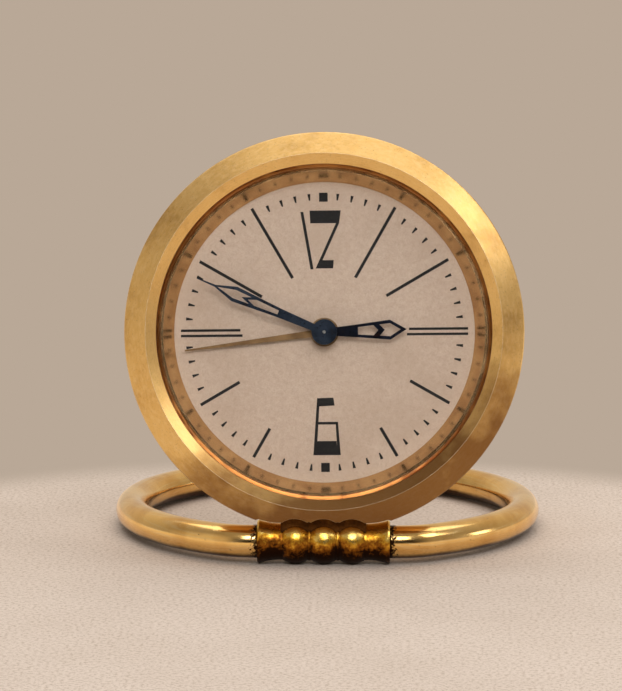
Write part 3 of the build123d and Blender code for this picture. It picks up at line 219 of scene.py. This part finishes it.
def makeSatinGilt(name, s, centre, axis):
    made, tree = newMaterial(name)
    where = turnedPlace(tree, centre, axis)
    place = where["place"]
    grain = turnedGrain(tree, where, axis, s["grainLength"], s["grainSpacing"])
    stain = addNode(tree, "TexNoise", {"Vector": place, "Scale": 1 / s["stain"], **softNoise})
    speck = addNode(tree, "TexNoise", {"Vector": place, "Scale": 1 / s["speck"], **smoothNoise})
    plate = layer(tree, s["plate"], s["shadow"], stain, *s["shadowSpan"])
    plate = layer(tree, plate, s["worn"], grain, *s["wornSpan"])
    plate = layer(tree, plate, s["brown"], speck, *s["speckSpan"])
    # painted shade: the plate is darkened down the case and to the right
    reach = addNode(tree, "VectorMath", [where["offset"], s["paintedShadeWay"]], "Value", operation="DOT_PRODUCT")
    low = addNode(tree, "MapRange", [reach, *s["paintedShadeReach"]])
    paintedShade = addNode(tree, "Math", [low, s["paintedShadeShare"], stain], operation="MULTIPLY_ADD")
    plate = layer(tree, plate, s["brown"], paintedShade, *s["paintedShadeSpan"])
    # edge wear and a painted highlight: the colour is lighter along the edges
    plate = layer(tree, plate, s["polished"], flatness(tree, s["edge"]), *s["edgeWearAndHighlightSpan"])
    rough = addNode(tree, "MapRange", [grain, *noiseReach, *s["roughness"]])
    soft = addNode(tree, "Bevel", {"Radius": s["edge"]}, samples=edgeSamples)
    relief = addNode(tree, "Bump", {"Height": grain, "Distance": s["relief"], "Normal": soft})
    surface = addNode(tree, "BsdfPrincipled", {
        "Base Color": plate,
        "Metallic": 1.0,
        "Roughness": rough,
        "Anisotropic": s["anisotropy"],
        "Tangent": where["turning"],
        "Normal": relief,
    })
    addNode(tree, "OutputMaterial", {"Surface": surface})
    return made


# The drum and cover behind are spun and only wiped, so they give duller, evener lights
drumSatin = dict(
    satin,
    plate="#dcab62",
    shadow="#c9964e",
    roughness=(0.3, 0.42),
    anisotropy=0.4,
    # the same painted shade, down the case and to the right, but weaker here
    paintedShadeSpan=(0.55, 1.2, 0.3),
)
dress(["bezel"], makeSatinGilt("gilt brass, satin turned", satin, dialCentre, dialOut))
dress(["case_drum", "back_cover"], makeSatinGilt("gilt brass, spun", drumSatin, dialCentre, dialOut))
print("stage: case metal")


# Ring stand: a bent brass rod, polished lengthwise, its lacquer rubbed to bare brass, with painted shade
# beneath.
# It gives long soft lights along the rod and a painted dark underside, with dirt beside the barrel.
ringFinish = {
    "brass": "#f2c478",
    "dull": "#dba75c",
    "dullSpan": (0.42, 0.66),
    "bright": "#f6e4b8",
    "brightSpan": (0.5, 0.8, 0.45),
    # the colour of the painted shade on the rod's underside
    "brown": "#4a2c14",
    "paintedShadeBelow": (2.5 * mm, 1.2 * mm),
    "paintedShadeSpan": (0.03, 0.26, 0.95),
    "dirt": "#2e1a0c",
    "dirtReach": (14.4 * mm, 12.4 * mm),  # distance from the middle of the barrel
    "dirtFront": (-20 * mm, -30 * mm),
    "dirtShare": 0.36,
    "dirtSpan": (0.66, 0.74),
    "dirtRoughness": 0.35,
    "grainLength": 7 * mm,
    "grainSpacing": 0.3 * mm,  # real emery lines are 0.05 mm apart; drawn coarser to show
    "relief": 0.0012 * mm,
    "roughness": (0.12, 0.21),
    "anisotropy": 0.3,
    "pit": 0.55 * mm,
    "cloud": 8 * mm,
}


def makeRingBrass(s):
    made, tree = newMaterial("brass rod, polished and worn")
    # the rod runs round the ring's middle, so the grain does too
    low, high = (np.array(corner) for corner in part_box("ring_stand"))
    upright = (0.0, 0.0, 1.0)
    where = turnedPlace(tree, (low + high) / 2, upright)
    place = where["place"]
    grain = turnedGrain(tree, where, upright, s["grainLength"], s["grainSpacing"])
    cloud = addNode(tree, "TexNoise", {"Vector": place, "Scale": 1 / s["cloud"], **deepNoise})
    pit = addNode(tree, "TexNoise", {"Vector": place, "Scale": 1 / s["pit"], **pitNoise})
    brass = layer(tree, s["brass"], s["dull"], cloud, *s["dullSpan"])
    brass = layer(tree, brass, s["bright"], grain, *s["brightSpan"])
    height = addNode(tree, "SeparateXYZ", [place], "Z")
    # painted shade: the rod darkens toward its underside
    under = addNode(tree, "MapRange", [height, *s["paintedShadeBelow"]])
    under = addNode(tree, "Math", [under, cloud], operation="MULTIPLY")
    brass = layer(tree, brass, s["brown"], under, *s["paintedShadeSpan"])
    # next to the barrel the collars have rubbed the rod and left dirt
    aside = addNode(tree, "SeparateXYZ", [place], "X")
    aside = addNode(tree, "Math", [aside], operation="ABSOLUTE")
    near = addNode(tree, "MapRange", [aside, *s["dirtReach"]])
    forward = addNode(tree, "SeparateXYZ", [place], "Y")
    front = addNode(tree, "MapRange", [forward, *s["dirtFront"]])
    rubbed = addNode(tree, "Math", [near, front], operation="MULTIPLY")
    dirt = addNode(tree, "Math", [rubbed, s["dirtShare"], pit], operation="MULTIPLY_ADD")
    dirt = addNode(tree, "MapRange", [dirt, *s["dirtSpan"]])
    brass = layer(tree, brass, s["dirt"], dirt, 0.0, 1.0)
    smooth = addNode(tree, "MapRange", [grain, *noiseReach, *s["roughness"]])
    rough = addNode(tree, "Math", [dirt, s["dirtRoughness"], smooth], operation="MULTIPLY_ADD")
    relief = addNode(tree, "Bump", {"Height": grain, "Distance": s["relief"]})
    surface = addNode(tree, "BsdfPrincipled", {
        "Base Color": brass,
        "Metallic": 1.0,
        "Roughness": rough,
        "Anisotropic": s["anisotropy"],
        "Tangent": where["turning"],
        "Normal": relief,
    })
    addNode(tree, "OutputMaterial", {"Surface": surface})
    return made


dress(["ring_stand"], makeRingBrass(ringFinish))
print("stage: ring")


# Hinge barrel: brass turned and polished, then handled for years. Deep yellow up top, amber to near black
# in the hollows from tarnish and low down from painted shade, with flecks of tarnish.
barrelFinish = {
    "stops": [(0.0, "#f4cf72"), (0.25, "#dca233"), (0.52, "#96591a"), (0.8, "#2b170a")],
    "patch": 2.2 * mm,
    "patchShare": 1.15,
    "fleck": 0.42 * mm,
    "fleckShare": 0.5,
    "dent": 0.9 * mm,
    "dentDepth": 0.06 * mm,
    "dentStrength": 0.7,
    # painted shade: darker toward the bottom
    "paintedShadeHeights": (6.9 * mm, 1.2 * mm, 0.0, 0.8),
    "hollows": (4.1 * mm, 3.4 * mm, 0.0, 0.2),
    "tarnishSpan": (0.86, 1.66),
    "dulledSpan": (0.15, 0.85),
    "roughness": (0.26, 0.5),
    "edge": 0.09 * mm,
}
# The saddle is coloured dark brown and duller than the barrel, a painted shade that reads as the gap under
# the bezel
saddleShadeFinish = dict(
    barrelFinish,
    stops=[(0.0, "#74481f"), (0.3, "#5a3516"), (0.6, "#3d2410"), (0.85, "#1e1008")],
    roughness=(0.45, 0.6),
    tarnishSpan=(0.58, 1.42),
)


def makeBarrelGold(name, s):
    made, tree = newMaterial(name)
    where = turnedPlace(tree, hingePoint, (1.0, 0.0, 0.0))
    place = where["place"]
    patch = addNode(tree, "TexNoise", {"Vector": place, "Scale": 1 / s["patch"], **patchNoise})
    fleck = addNode(tree, "TexNoise", {"Vector": place, "Scale": 1 / s["fleck"], **pitNoise})
    dent = addNode(tree, "TexNoise", {"Vector": place, "Scale": 1 / s["dent"], **smoothNoise})
    # painted shade: darker low down; the hollows below hold tarnish
    height = addNode(tree, "SeparateXYZ", [place], "Z")
    low = addNode(tree, "MapRange", [height, *s["paintedShadeHeights"]])
    hollow = addNode(tree, "MapRange", [where["radius"], *s["hollows"]])
    amount = addNode(tree, "Math", [low, hollow], operation="ADD")
    amount = addNode(tree, "Math", [patch, s["patchShare"], amount], operation="MULTIPLY_ADD")
    amount = addNode(tree, "Math", [fleck, s["fleckShare"], amount], operation="MULTIPLY_ADD")
    amount = addNode(tree, "MapRange", [amount, *s["tarnishSpan"]])
    colour = addNode(tree, "ValToRGB", [amount])
    band = colour.node.color_ramp
    for position, _ in s["stops"][len(band.elements):]:
        band.elements.new(position)
    for stop, (position, tint) in zip(band.elements, s["stops"]):
        stop.position, stop.color = position, linear(tint)
    rough = addNode(tree, "MapRange", [amount, *s["dulledSpan"], *s["roughness"]])
    soft = addNode(tree, "Bevel", {"Radius": s["edge"]}, samples=edgeSamples)
    relief = addNode(tree, "Bump", {
        "Height": dent,
        "Distance": s["dentDepth"],
        "Strength": s["dentStrength"],
        "Normal": soft,
    })
    surface = addNode(
        tree, "BsdfPrincipled", {"Base Color": colour, "Metallic": 1.0, "Roughness": rough, "Normal": relief}
    )
    addNode(tree, "OutputMaterial", {"Surface": surface})
    return made


dress(["hinge_barrel"], makeBarrelGold("gilt brass, polished and tarnished", barrelFinish))
dress(["barrel_saddle"], makeBarrelGold("gilt brass, painted shade under the bezel", saddleShadeFinish))
print("stage: barrel")


# Reflector ring: thin gilt brass, spun bright. It mirrors the edge of the dial and its marks.
reflectorFinish = {
    "gilt": "#e0bd8a",
    "dull": "#c7a172",
    "dullSpan": (0.35, 0.68),
    "cloud": 5 * mm,
    "lineLength": 6 * mm,
    "lineSpacing": 0.25 * mm,
    "roughness": (0.19, 0.24),
}


def makeReflectorGilt(s):
    made, tree = newMaterial("gilt brass, spun bright")
    where = turnedPlace(tree, dialCentre, dialOut)
    cloud = addNode(tree, "TexNoise", {"Vector": where["place"], "Scale": 1 / s["cloud"], **softNoise})
    line = turnedGrain(tree, where, dialOut, s["lineLength"], s["lineSpacing"])
    gilt = layer(tree, s["gilt"], s["dull"], cloud, *s["dullSpan"])
    rough = addNode(tree, "MapRange", [line, *noiseReach, *s["roughness"]])
    surface = addNode(tree, "BsdfPrincipled", {"Base Color": gilt, "Metallic": 1.0, "Roughness": rough})
    addNode(tree, "OutputMaterial", {"Surface": surface})
    return made


dress(["reflector_ring"], makeReflectorGilt(reflectorFinish))


# Crystal: clear watch glass with a ground bevel, tinted brown at the bevel as painted shade where it meets
# the bezel. It leaves the dial plain to see and draws a painted dark ring round the reflector.
crystalFinish = {
    "clear": "#ffffff",
    # painted shade in the bevel, standing in for the glass's dark edge
    "browned": "#d2a57c",
    "edge": (30.6 * mm, 30.8 * mm),
    "index": 1.49,
    "ground": 0.3,
}


def makeCrystalGlass(s):
    made, tree = newMaterial("watch glass, clear with a painted dark edge")
    where = turnedPlace(tree, dialCentre, dialOut)
    tint = layer(tree, s["clear"], s["browned"], where["radius"], *s["edge"])
    ground = addNode(tree, "MapRange", [where["radius"], *s["edge"], 0.0, s["ground"]])
    glass = addNode(tree, "BsdfGlass", {"Color": tint, "Roughness": ground, "IOR": s["index"]})
    through = addNode(tree, "BsdfTransparent", {"Color": tint})
    shadowRay = addNode(tree, "LightPath", output="Is Shadow Ray")
    surface = addNode(tree, "MixShader", [shadowRay, glass, through])
    addNode(tree, "OutputMaterial", {"Surface": surface})
    return made


dress(["crystal"], makeCrystalGlass(crystalFinish))
print("stage: crystal")


# Dial: brass sheet sprayed with champagne lacquer, which gives a matt pale face, faintly mottled by age
dialFinish = {
    "lacquer": "#c2ac99",
    "aged": "#ad947e",
    "mottle": 0.9 * mm,
    "mottleSpan": (0.35, 0.75, 0.55),
    "cloud": 14 * mm,
    "cloudSpan": (0.45, 0.75, 0.5),
    "edge": "#c6b19d",
    "edgeSpan": (25 * mm, 29.6 * mm, 0.7),
    "fleck": "#a08a76",
    "fleckSpan": (0.45, 0.72, 0.42),
    "grain": 0.3 * mm,  # real pigment grain is finer; drawn so that it just shows
    "relief": 0.004 * mm,
    "reliefStrength": 0.5,
    "roughness": 0.48,
    "gloss": 0.4,
}


def makeDialPaint(s):
    made, tree = newMaterial("dial lacquer, champagne")
    where = turnedPlace(tree, dialCentre, dialOut)
    place = where["place"]
    mottle = addNode(tree, "TexNoise", {"Vector": place, "Scale": 1 / s["mottle"], **mottleNoise})
    grain = addNode(tree, "TexNoise", {"Vector": place, "Scale": 1 / s["grain"], **smoothNoise})
    cloud = addNode(tree, "TexNoise", {"Vector": place, "Scale": 1 / s["cloud"], **smoothNoise})
    paint = layer(tree, s["lacquer"], s["aged"], mottle, *s["mottleSpan"])
    paint = layer(tree, paint, s["aged"], cloud, *s["cloudSpan"])
    paint = layer(tree, paint, s["edge"], where["radius"], *s["edgeSpan"])
    paint = layer(tree, paint, s["fleck"], grain, *s["fleckSpan"])
    relief = addNode(tree, "Bump", {
        "Height": grain,
        "Distance": s["relief"],
        "Strength": s["reliefStrength"],
    })
    surface = addNode(tree, "BsdfPrincipled", {
        "Base Color": paint,
        "Roughness": s["roughness"],
        "Specular IOR Level": s["gloss"],
        "Normal": relief,
    })
    addNode(tree, "OutputMaterial", {"Surface": surface})
    return made


dress(["dial"], makeDialPaint(dialFinish))


# Printed marks: sizes in millimetres, bearings in degrees clockwise from 12
marks = {
    "turn": 0.7,  # the dial sits a little anticlockwise in its case
    "outer": 27.0,
    "lines": {30: 11.8, 60: 13.5, 120: 18.5, 150: 20.8, 210: 20.8, 240: 18.5, 300: 13.5, 330: 11.8},
    "lineWidth": 0.58,
    "pairs": {90: (15.9, 15.5), 270: (15.4, 15.8)},
    "pairWidth": 0.47,
    "pairSpacing": 1.0,
    "tick": (24.9, 26.15),
    "tickWidths": (0.26, 0.58),
    "square": (25.4, 1.62, 1.7),  # distance out, width and height
    "thickness": (-0.004, 0.02),  # the ink stands just proud of the lacquer
}
minuteTurn = 6.0  # degrees
hourMinutes = 5
squareBearings = (0.0, 180.0)
# A prism's eight corners, the four at the back first, and its six faces
prismCorners = 8
prismFaces = [(3, 2, 1, 0), (4, 5, 6, 7), (0, 1, 5, 4), (1, 2, 6, 5), (2, 3, 7, 6), (3, 0, 4, 7)]
numeralTwelve = [
    [(-4.35, 22.66), (-3.79, 22.66), (-1.95, 11.84), (-2.52, 11.84)],
    [(-2.62, 22.9), (3.25, 22.9), (2.93, 20.5), (-2.5, 20.5)],
    [(2.32, 20.5), (2.93, 20.5), (-0.95, 12.0), (-1.56, 12.0)],
    [(-0.95, 12.0), (1.75, 12.0), (1.86, 13.55), (-0.26, 13.55)],
]
numeralSix = [
    [(-1.48, -12.4), (1.58, -12.3), (1.8, -13.8), (-1.15, -13.95)],
    [(-1.48, -12.4), (-1.0, -12.9), (-1.66, -23.1), (-2.26, -23.1)],
    [(-1.27, -16.85), (2.42, -16.85), (2.45, -17.35), (-1.31, -17.35)],
    [(1.97, -17.35), (2.45, -17.35), (2.89, -23.1), (2.3, -23.1)],
    [(-1.49, -20.45), (2.1, -20.45), (2.4, -23.1), (-1.7, -23.1)],
]


def ray(bearing, aside, inner, outer, innerWidth, outerWidth):
    # A bar along a ray from the dial's centre, as four corners in millimetres
    turn = radians(bearing)
    along = np.array((sin(turn), cos(turn)))
    across = np.array((cos(turn), -sin(turn)))
    near = along * inner + across * aside
    far = along * outer + across * aside
    return [
        near - across * innerWidth / 2,
        near + across * innerWidth / 2,
        far + across * outerWidth / 2,
        far - across * outerWidth / 2,
    ]


def printMarks(name, quads, m, material):
    # Each mark is a flat four-sided prism. Its corners (x, y) are turned by the dial's own angle,
    # put in anticlockwise order, and placed at centre + x * across + y * up + depth * out.
    flat = np.array(quads, dtype=float)
    turn = radians(m["turn"])
    x = flat[..., 0] * cos(turn) - flat[..., 1] * sin(turn)
    y = flat[..., 0] * sin(turn) + flat[..., 1] * cos(turn)
    area = np.sum(x * np.roll(y, -1, axis=1) - np.roll(x, -1, axis=1) * y, axis=1)
    x = np.where(area[:, None] < 0, x[:, ::-1], x)[:, None, :, None]
    y = np.where(area[:, None] < 0, y[:, ::-1], y)[:, None, :, None]
    depth = np.array(m["thickness"])[None, :, None, None]
    points = dialCentre + mm * (x * dialAcross + y * dialUp + depth * dialOut)
    first = (np.arange(len(flat)) * prismCorners)[:, None, None]
    faces = (first + np.array(prismFaces)[None]).reshape(-1, 4)
    mesh = bpy.data.meshes.new(name)
    mesh.from_pydata(points.reshape(-1, 3).tolist(), [], faces.tolist())
    mesh.materials.append(material)
    piece = bpy.data.objects.new(name, mesh)
    bpy.context.scene.collection.objects.link(piece)
    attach(piece, "case")


# Printing ink: black, matt and a little uneven, so that it reads as print and not as a hole
inkFinish = {
    "ink": "#0d0a09",
    "thin": "#1d1612",
    "thinSpan": (0.5, 0.75, 0.8),
    "patch": 0.4 * mm,
    "relief": 0.004 * mm,
    "reliefStrength": 0.5,
    "roughness": 0.6,
    "gloss": 0.25,
}


def makeInk(s):
    made, tree = newMaterial("pad-printing ink, black")
    place = addNode(tree, "TexCoord", output="Object")
    patch = addNode(tree, "TexNoise", {"Vector": place, "Scale": 1 / s["patch"], **grainNoise})
    ink = layer(tree, s["ink"], s["thin"], patch, *s["thinSpan"])
    relief = addNode(tree, "Bump", {
        "Height": patch,
        "Distance": s["relief"],
        "Strength": s["reliefStrength"],
    })
    surface = addNode(tree, "BsdfPrincipled", {
        "Base Color": ink,
        "Roughness": s["roughness"],
        "Specular IOR Level": s["gloss"],
        "Normal": relief,
    })
    addNode(tree, "OutputMaterial", {"Surface": surface})
    return made


ink = makeInk(inkFinish)
hourLines = [
    ray(bearing, 0.0, inner, marks["outer"], marks["lineWidth"], marks["lineWidth"])
    for bearing, inner in marks["lines"].items()
]
for bearing, inners in marks["pairs"].items():
    for side, inner in zip((-1, 1), inners):
        aside = side * marks["pairSpacing"] / 2
        hourLines.append(ray(bearing, aside, inner, marks["outer"], marks["pairWidth"], marks["pairWidth"]))
printMarks("dial_hour_lines", hourLines, marks, ink)
ticks = [
    ray(minuteTurn * minute, 0.0, *marks["tick"], *marks["tickWidths"])
    for minute in range(60)
    if minute % hourMinutes
]
printMarks("dial_minute_ticks", ticks, marks, ink)
squareAt, squareWide, squareHigh = marks["square"]
squares = [
    ray(bearing, 0.0, squareAt - squareHigh / 2, squareAt + squareHigh / 2, squareWide, squareWide)
    for bearing in squareBearings
]
printMarks("dial_numerals", numeralTwelve + numeralSix + squares, marks, ink)
print("stage: dial")


# Hands: steel polished, then blued by heat. The face shows dark blue, with brown where it was hotter.
blueFinish = {
    "blue": "#323b48",
    "deep": "#1d2430",
    "deepSpan": (0.4, 0.7),
    "straw": "#3c302c",
    "strawSpan": (0.62, 0.8, 0.5),
    "cloud": 2.5 * mm,
    "fine": 0.3 * mm,
    "relief": 0.002 * mm,
    "reliefStrength": 0.5,
    "roughness": (0.26, 0.38),
    "edge": 0.05 * mm,
}
# The hour hand was heated longer, past blue, and is nearly black
darkBlueFinish = dict(blueFinish, blue="#1d2230", deep="#11131a", straw="#4a2f22")


def makeBluedSteel(name, s):
    made, tree = newMaterial(name)
    place = addNode(tree, "TexCoord", output="Object")
    cloud = addNode(tree, "TexNoise", {"Vector": place, "Scale": 1 / s["cloud"], **softNoise})
    fine = addNode(tree, "TexNoise", {"Vector": place, "Scale": 1 / s["fine"], **smoothNoise})
    blue = layer(tree, s["blue"], s["deep"], cloud, *s["deepSpan"])
    blue = layer(tree, blue, s["straw"], cloud, *s["strawSpan"])
    rough = addNode(tree, "MapRange", [fine, *noiseReach, *s["roughness"]])
    soft = addNode(tree, "Bevel", {"Radius": s["edge"]}, samples=edgeSamples)
    relief = addNode(tree, "Bump", {
        "Height": fine,
        "Distance": s["relief"],
        "Strength": s["reliefStrength"],
        "Normal": soft,
    })
    surface = addNode(
        tree, "BsdfPrincipled", {"Base Color": blue, "Metallic": 1.0, "Roughness": rough, "Normal": relief}
    )
    addNode(tree, "OutputMaterial", {"Surface": surface})
    return made


dress(["minute_hand"], makeBluedSteel("steel, heat blued", blueFinish))
dress(["hour_hand"], makeBluedSteel("steel, blued dark", darkBlueFinish))


# Plain metals: brushed brass and steel, each with its own colour and gloss
plainShared = {
    "dullSpan": (0.38, 0.68),
    "relief": 0.002 * mm,
    "reliefStrength": 0.6,
}
plainMetals = {
    # flat lights and a soft tan tone
    "gilt brass, satin hand": {
        "nodes": ["alarm_hand"],
        "colour": "#8d6f4c",
        "dull": "#6b5136",
        "roughness": (0.36, 0.5),
        "grainLength": 0.8 * mm,
        "grainRatio": 6.0,
        "cloud": 4 * mm,
        "edge": 0.04 * mm,
    },
    # small sharp lights on rounded edges
    "gilt brass, polished keys": {
        "nodes": ["time_key", "alarm_key", "hand_setting_knob", "alarm_setting_knob", "alarm_stop_button"],
        "colour": "#d9a950",
        "dull": "#b98434",
        "roughness": (0.16, 0.28),
        "grainLength": 1.2 * mm,
        "grainRatio": 3.0,
        "cloud": 3 * mm,
        "edge": 0.12 * mm,
    },
    # streaked lights across flat stampings
    "brass, stamped and brushed": {
        "nodes": [
            "front_plate", "rear_plate", "dial_rest_ring", "plate_pillars", "case_spacers", "time_barrel",
            "alarm_barrel", "centre_wheel", "third_wheel", "fourth_wheel", "minute_wheel", "hour_wheel",
            "alarm_wheel", "balance_wheel", "cannon_pinion", "alarm_setting_arbor",
        ],
        "colour": "#cba862",
        "dull": "#ab8547",
        "roughness": (0.28, 0.42),
        "grainLength": 1.5 * mm,
        "grainRatio": 8.0,
        "cloud": 7 * mm,
        "edge": 0.06 * mm,
    },
    # cool grey with clear lights
    "steel, ground": {
        "nodes": [
            "saddle_screws", "pillar_screws", "case_screws", "ring_joint_pin", "time_key_arbor",
            "time_ratchet_wheel", "time_click", "alarm_key_arbor", "alarm_ratchet_wheel", "alarm_click",
            "centre_arbor", "escape_wheel", "pallet_lever", "minute_wheel_stud", "alarm_verge_wheel",
            "alarm_hammer", "regulator_lever",
        ],
        "colour": "#b9b7b2",
        "dull": "#8f8b85",
        "roughness": (0.22, 0.36),
        "grainLength": 1.0 * mm,
        "grainRatio": 5.0,
        "cloud": 3 * mm,
        "edge": 0.05 * mm,
    },
    # dark grey with an oily sheen
    "spring steel, oil tempered": {
        "nodes": ["time_mainspring", "alarm_mainspring", "hairspring", "stop_button_spring"],
        "colour": "#6d7075",
        "dull": "#4a4b50",
        "roughness": (0.25, 0.4),
        "grainLength": 1.0 * mm,
        "grainRatio": 5.0,
        "cloud": 3 * mm,
        "edge": 0.03 * mm,
    },
}


def makePlainMetal(name, s):
    made, tree = newMaterial(name)
    place = addNode(tree, "TexCoord", output="Object")
    stretched = addNode(tree, "Mapping", {"Vector": place, "Scale": (1.0, 1.0, s["grainRatio"])})
    grain = addNode(tree, "TexNoise", {"Vector": stretched, "Scale": 1 / s["grainLength"], **grainNoise})
    cloud = addNode(tree, "TexNoise", {"Vector": place, "Scale": 1 / s["cloud"], **softNoise})
    metal = layer(tree, s["colour"], s["dull"], cloud, *s["dullSpan"])
    rough = addNode(tree, "MapRange", [grain, *noiseReach, *s["roughness"]])
    soft = addNode(tree, "Bevel", {"Radius": s["edge"]}, samples=edgeSamples)
    relief = addNode(tree, "Bump", {
        "Height": grain,
        "Distance": s["relief"],
        "Strength": s["reliefStrength"],
        "Normal": soft,
    })
    surface = addNode(
        tree, "BsdfPrincipled", {"Base Color": metal, "Metallic": 1.0, "Roughness": rough, "Normal": relief}
    )
    addNode(tree, "OutputMaterial", {"Surface": surface})
    return made


for name, finish in plainMetals.items():
    dress(finish["nodes"], makePlainMetal(name, dict(plainShared, **finish)))
print("stage: plain metals")


# Floor: pale honed stone round the clock, matt and finely freckled, going over to the plain taupe of
# the studio further off
floor = {
    "stone": "#dccdc1",
    "freckle": "#a8937f",
    "freckleSpan": (0.48, 0.64, 0.7),
    "cloud": 30 * mm,
    "cloudSpan": (0.4, 0.7, 0.12),
    "studio": "#b9a897",
    "reflectionGlow": "#f0e0cc",  # a painted reflection: the floor glows brighter in the metals than the camera sees it
    "middle": (0.0, -0.05, 0.0),
    "studioSpan": (0.102, 0.124),
    "reflectionGlowSpan": (0.044, 0.062),
    "reflectionGlowSide": (0.1, 0.015, 0.35, 1.0),  # weaker toward the right
    "half": 4.0,
    "grain": 0.7 * mm,
    "relief": 0.08 * mm,
    "reliefStrength": 0.4,
    "roughness": 0.85,
    "gloss": 0.2,
}


def makeFloor(f):
    made, tree = newMaterial("floor, pale stone")
    place = addNode(tree, "TexCoord", output="Object")
    away = addNode(tree, "VectorMath", [place, f["middle"]], "Value", operation="DISTANCE")
    tone = addNode(tree, "MapRange", [away, *f["studioSpan"]], interpolation_type="SMOOTHSTEP")
    grain = addNode(tree, "TexNoise", {"Vector": place, "Scale": 1 / f["grain"], **stoneNoise})
    cloud = addNode(tree, "TexNoise", {"Vector": place, "Scale": 1 / f["cloud"], **smoothNoise})
    stone = layer(tree, f["stone"], f["freckle"], grain, *f["freckleSpan"])
    stone = layer(tree, stone, f["freckle"], cloud, *f["cloudSpan"])
    relief = addNode(tree, "Bump", {
        "Height": grain,
        "Distance": f["relief"],
        "Strength": f["reliefStrength"],
    })
    lit = addNode(tree, "BsdfPrincipled", {
        "Base Color": stone,
        "Roughness": f["roughness"],
        "Specular IOR Level": f["gloss"],
        "Normal": relief,
    })
    # far off the camera sees the studio's even tone. The metals see a painted reflection there, a glow
    # brighter than the lit stone, and also nearer, from just past the clock. Light falls on stone
    # everywhere.
    glossy = addNode(tree, "LightPath", output="Is Glossy Ray")
    seen = addNode(tree, "LightPath", output="Is Camera Ray")
    through = addNode(tree, "LightPath", output="Is Transmission Ray")
    seen = addNode(tree, "Math", [seen, through], operation="MAXIMUM")
    seen = addNode(tree, "Math", [seen, glossy], operation="MAXIMUM")
    clear = addNode(tree, "VectorMath", [place], "Value", operation="LENGTH")
    clear = addNode(tree, "MapRange", [clear, *f["reflectionGlowSpan"]])
    across = addNode(tree, "SeparateXYZ", [place], "X")
    side = addNode(tree, "MapRange", [across, *f["reflectionGlowSide"]])
    clear = addNode(tree, "Math", [clear, side], operation="MULTIPLY")
    clear = addNode(tree, "Math", [clear, glossy], operation="MULTIPLY")
    # painted reflection: glossy rays get the brighter glowing tone
    studio = layer(tree, f["studio"], f["reflectionGlow"], glossy, 0.0, 1.0)
    even = addNode(tree, "Emission", {"Color": studio})
    share = addNode(tree, "Math", [tone, seen], operation="MULTIPLY")
    share = addNode(tree, "Math", [share, clear], operation="MAXIMUM")
    surface = addNode(tree, "MixShader", [share, lit, even])
    addNode(tree, "OutputMaterial", {"Surface": surface})
    mesh = bpy.data.meshes.new("floor")
    h = f["half"]
    mesh.from_pydata([(-h, -h, 0), (h, -h, 0), (h, h, 0), (-h, h, 0)], [], [(0, 1, 2, 3)])
    mesh.materials.append(made)
    piece = bpy.data.objects.new("floor", mesh)
    bpy.context.scene.collection.objects.link(piece)


makeFloor(floor)

# Lamps: a soft box over the clock whose front edge ends just ahead of it, a smaller one high at the
# right, a small one low at the side and a broad one behind the camera
lamps = {
    "boxAbove": {"at": (0.01, 0.07, 0.55), "aim": (0.0, -0.03, 0.0), "size": (0.8, 0.44), "power": 1.6},
    "boxRight": {"at": (0.46, -0.26, 0.46), "aim": (0, -0.03, 0.04), "size": (0.26, 0.22), "power": 0.58},
    "boxSide": {"at": (0.8, 0.0, 0.12), "aim": (0, -0.03, 0.04), "size": (0.16, 0.16), "power": 0.3},
    "boxFront": {"at": (0.05, -0.9, 0.66), "aim": (0, -0.03, 0.04), "size": (0.6, 0.4), "power": 4.25},
}
for name, lamp in lamps.items():
    data = bpy.data.lights.new(name, "AREA")
    data.shape = "RECTANGLE"
    data.size, data.size_y = lamp["size"]
    data.energy = lamp["power"]
    light = bpy.data.objects.new(name, data)
    light.location = lamp["at"]
    toward = Vector(lamp["aim"]) - Vector(lamp["at"])
    light.rotation_euler = toward.to_track_quat("-Z", "Y").to_euler()
    bpy.context.scene.collection.objects.link(light)

# Room: what the metals mirror, with the camera seeing the studio's plain tone
room = {
    "studio": "#b9a897",
    "walls": "#bdb6ad",
    "bright": "#fff4e2",
    "brightSide": (0.0, 0.97, 0.24),  # the sweep behind the clock, which the ring's top and sides mirror
    "brightFrom": (0.1, 0.8),
    "glowSide": (-0.87, -0.47, 0.13),  # a pale wall at the left, which the bezel's left side mirrors
    "glowFrom": (0.82, 0.97),
    "dark": "#35302b",
    "darkSide": (0.12, -0.98, 0.16),  # the unlit end of the room, which the glass faces
    "darkFrom": (0.72, 0.95),
    "strength": 0.68,
}


def makeRoom(r):
    world = bpy.data.worlds.new("room")
    world.use_nodes = True
    tree = world.node_tree
    tree.nodes.clear()
    direction = addNode(tree, "TexCoord", output="Generated")
    ahead = addNode(tree, "VectorMath", [direction, r["darkSide"]], "Value", operation="DOT_PRODUCT")
    behind = addNode(tree, "VectorMath", [direction, r["brightSide"]], "Value", operation="DOT_PRODUCT")
    walls = layer(tree, r["walls"], r["dark"], ahead, *r["darkFrom"])
    walls = layer(tree, walls, r["bright"], behind, *r["brightFrom"])
    aside = addNode(tree, "VectorMath", [direction, r["glowSide"]], "Value", operation="DOT_PRODUCT")
    walls = layer(tree, walls, r["bright"], aside, *r["glowFrom"])
    light = addNode(tree, "Background", {"Color": walls, "Strength": r["strength"]})
    plain = addNode(tree, "Background", {"Color": r["studio"], "Strength": 1.0})
    seen = addNode(tree, "LightPath", output="Is Camera Ray")
    surface = addNode(tree, "MixShader", [seen, light, plain])
    addNode(tree, "OutputWorld", {"Surface": surface})
    bpy.context.scene.world = world


makeRoom(room)
bpy.context.scene.view_settings.view_transform = "Standard"
print("stage: floor and light")
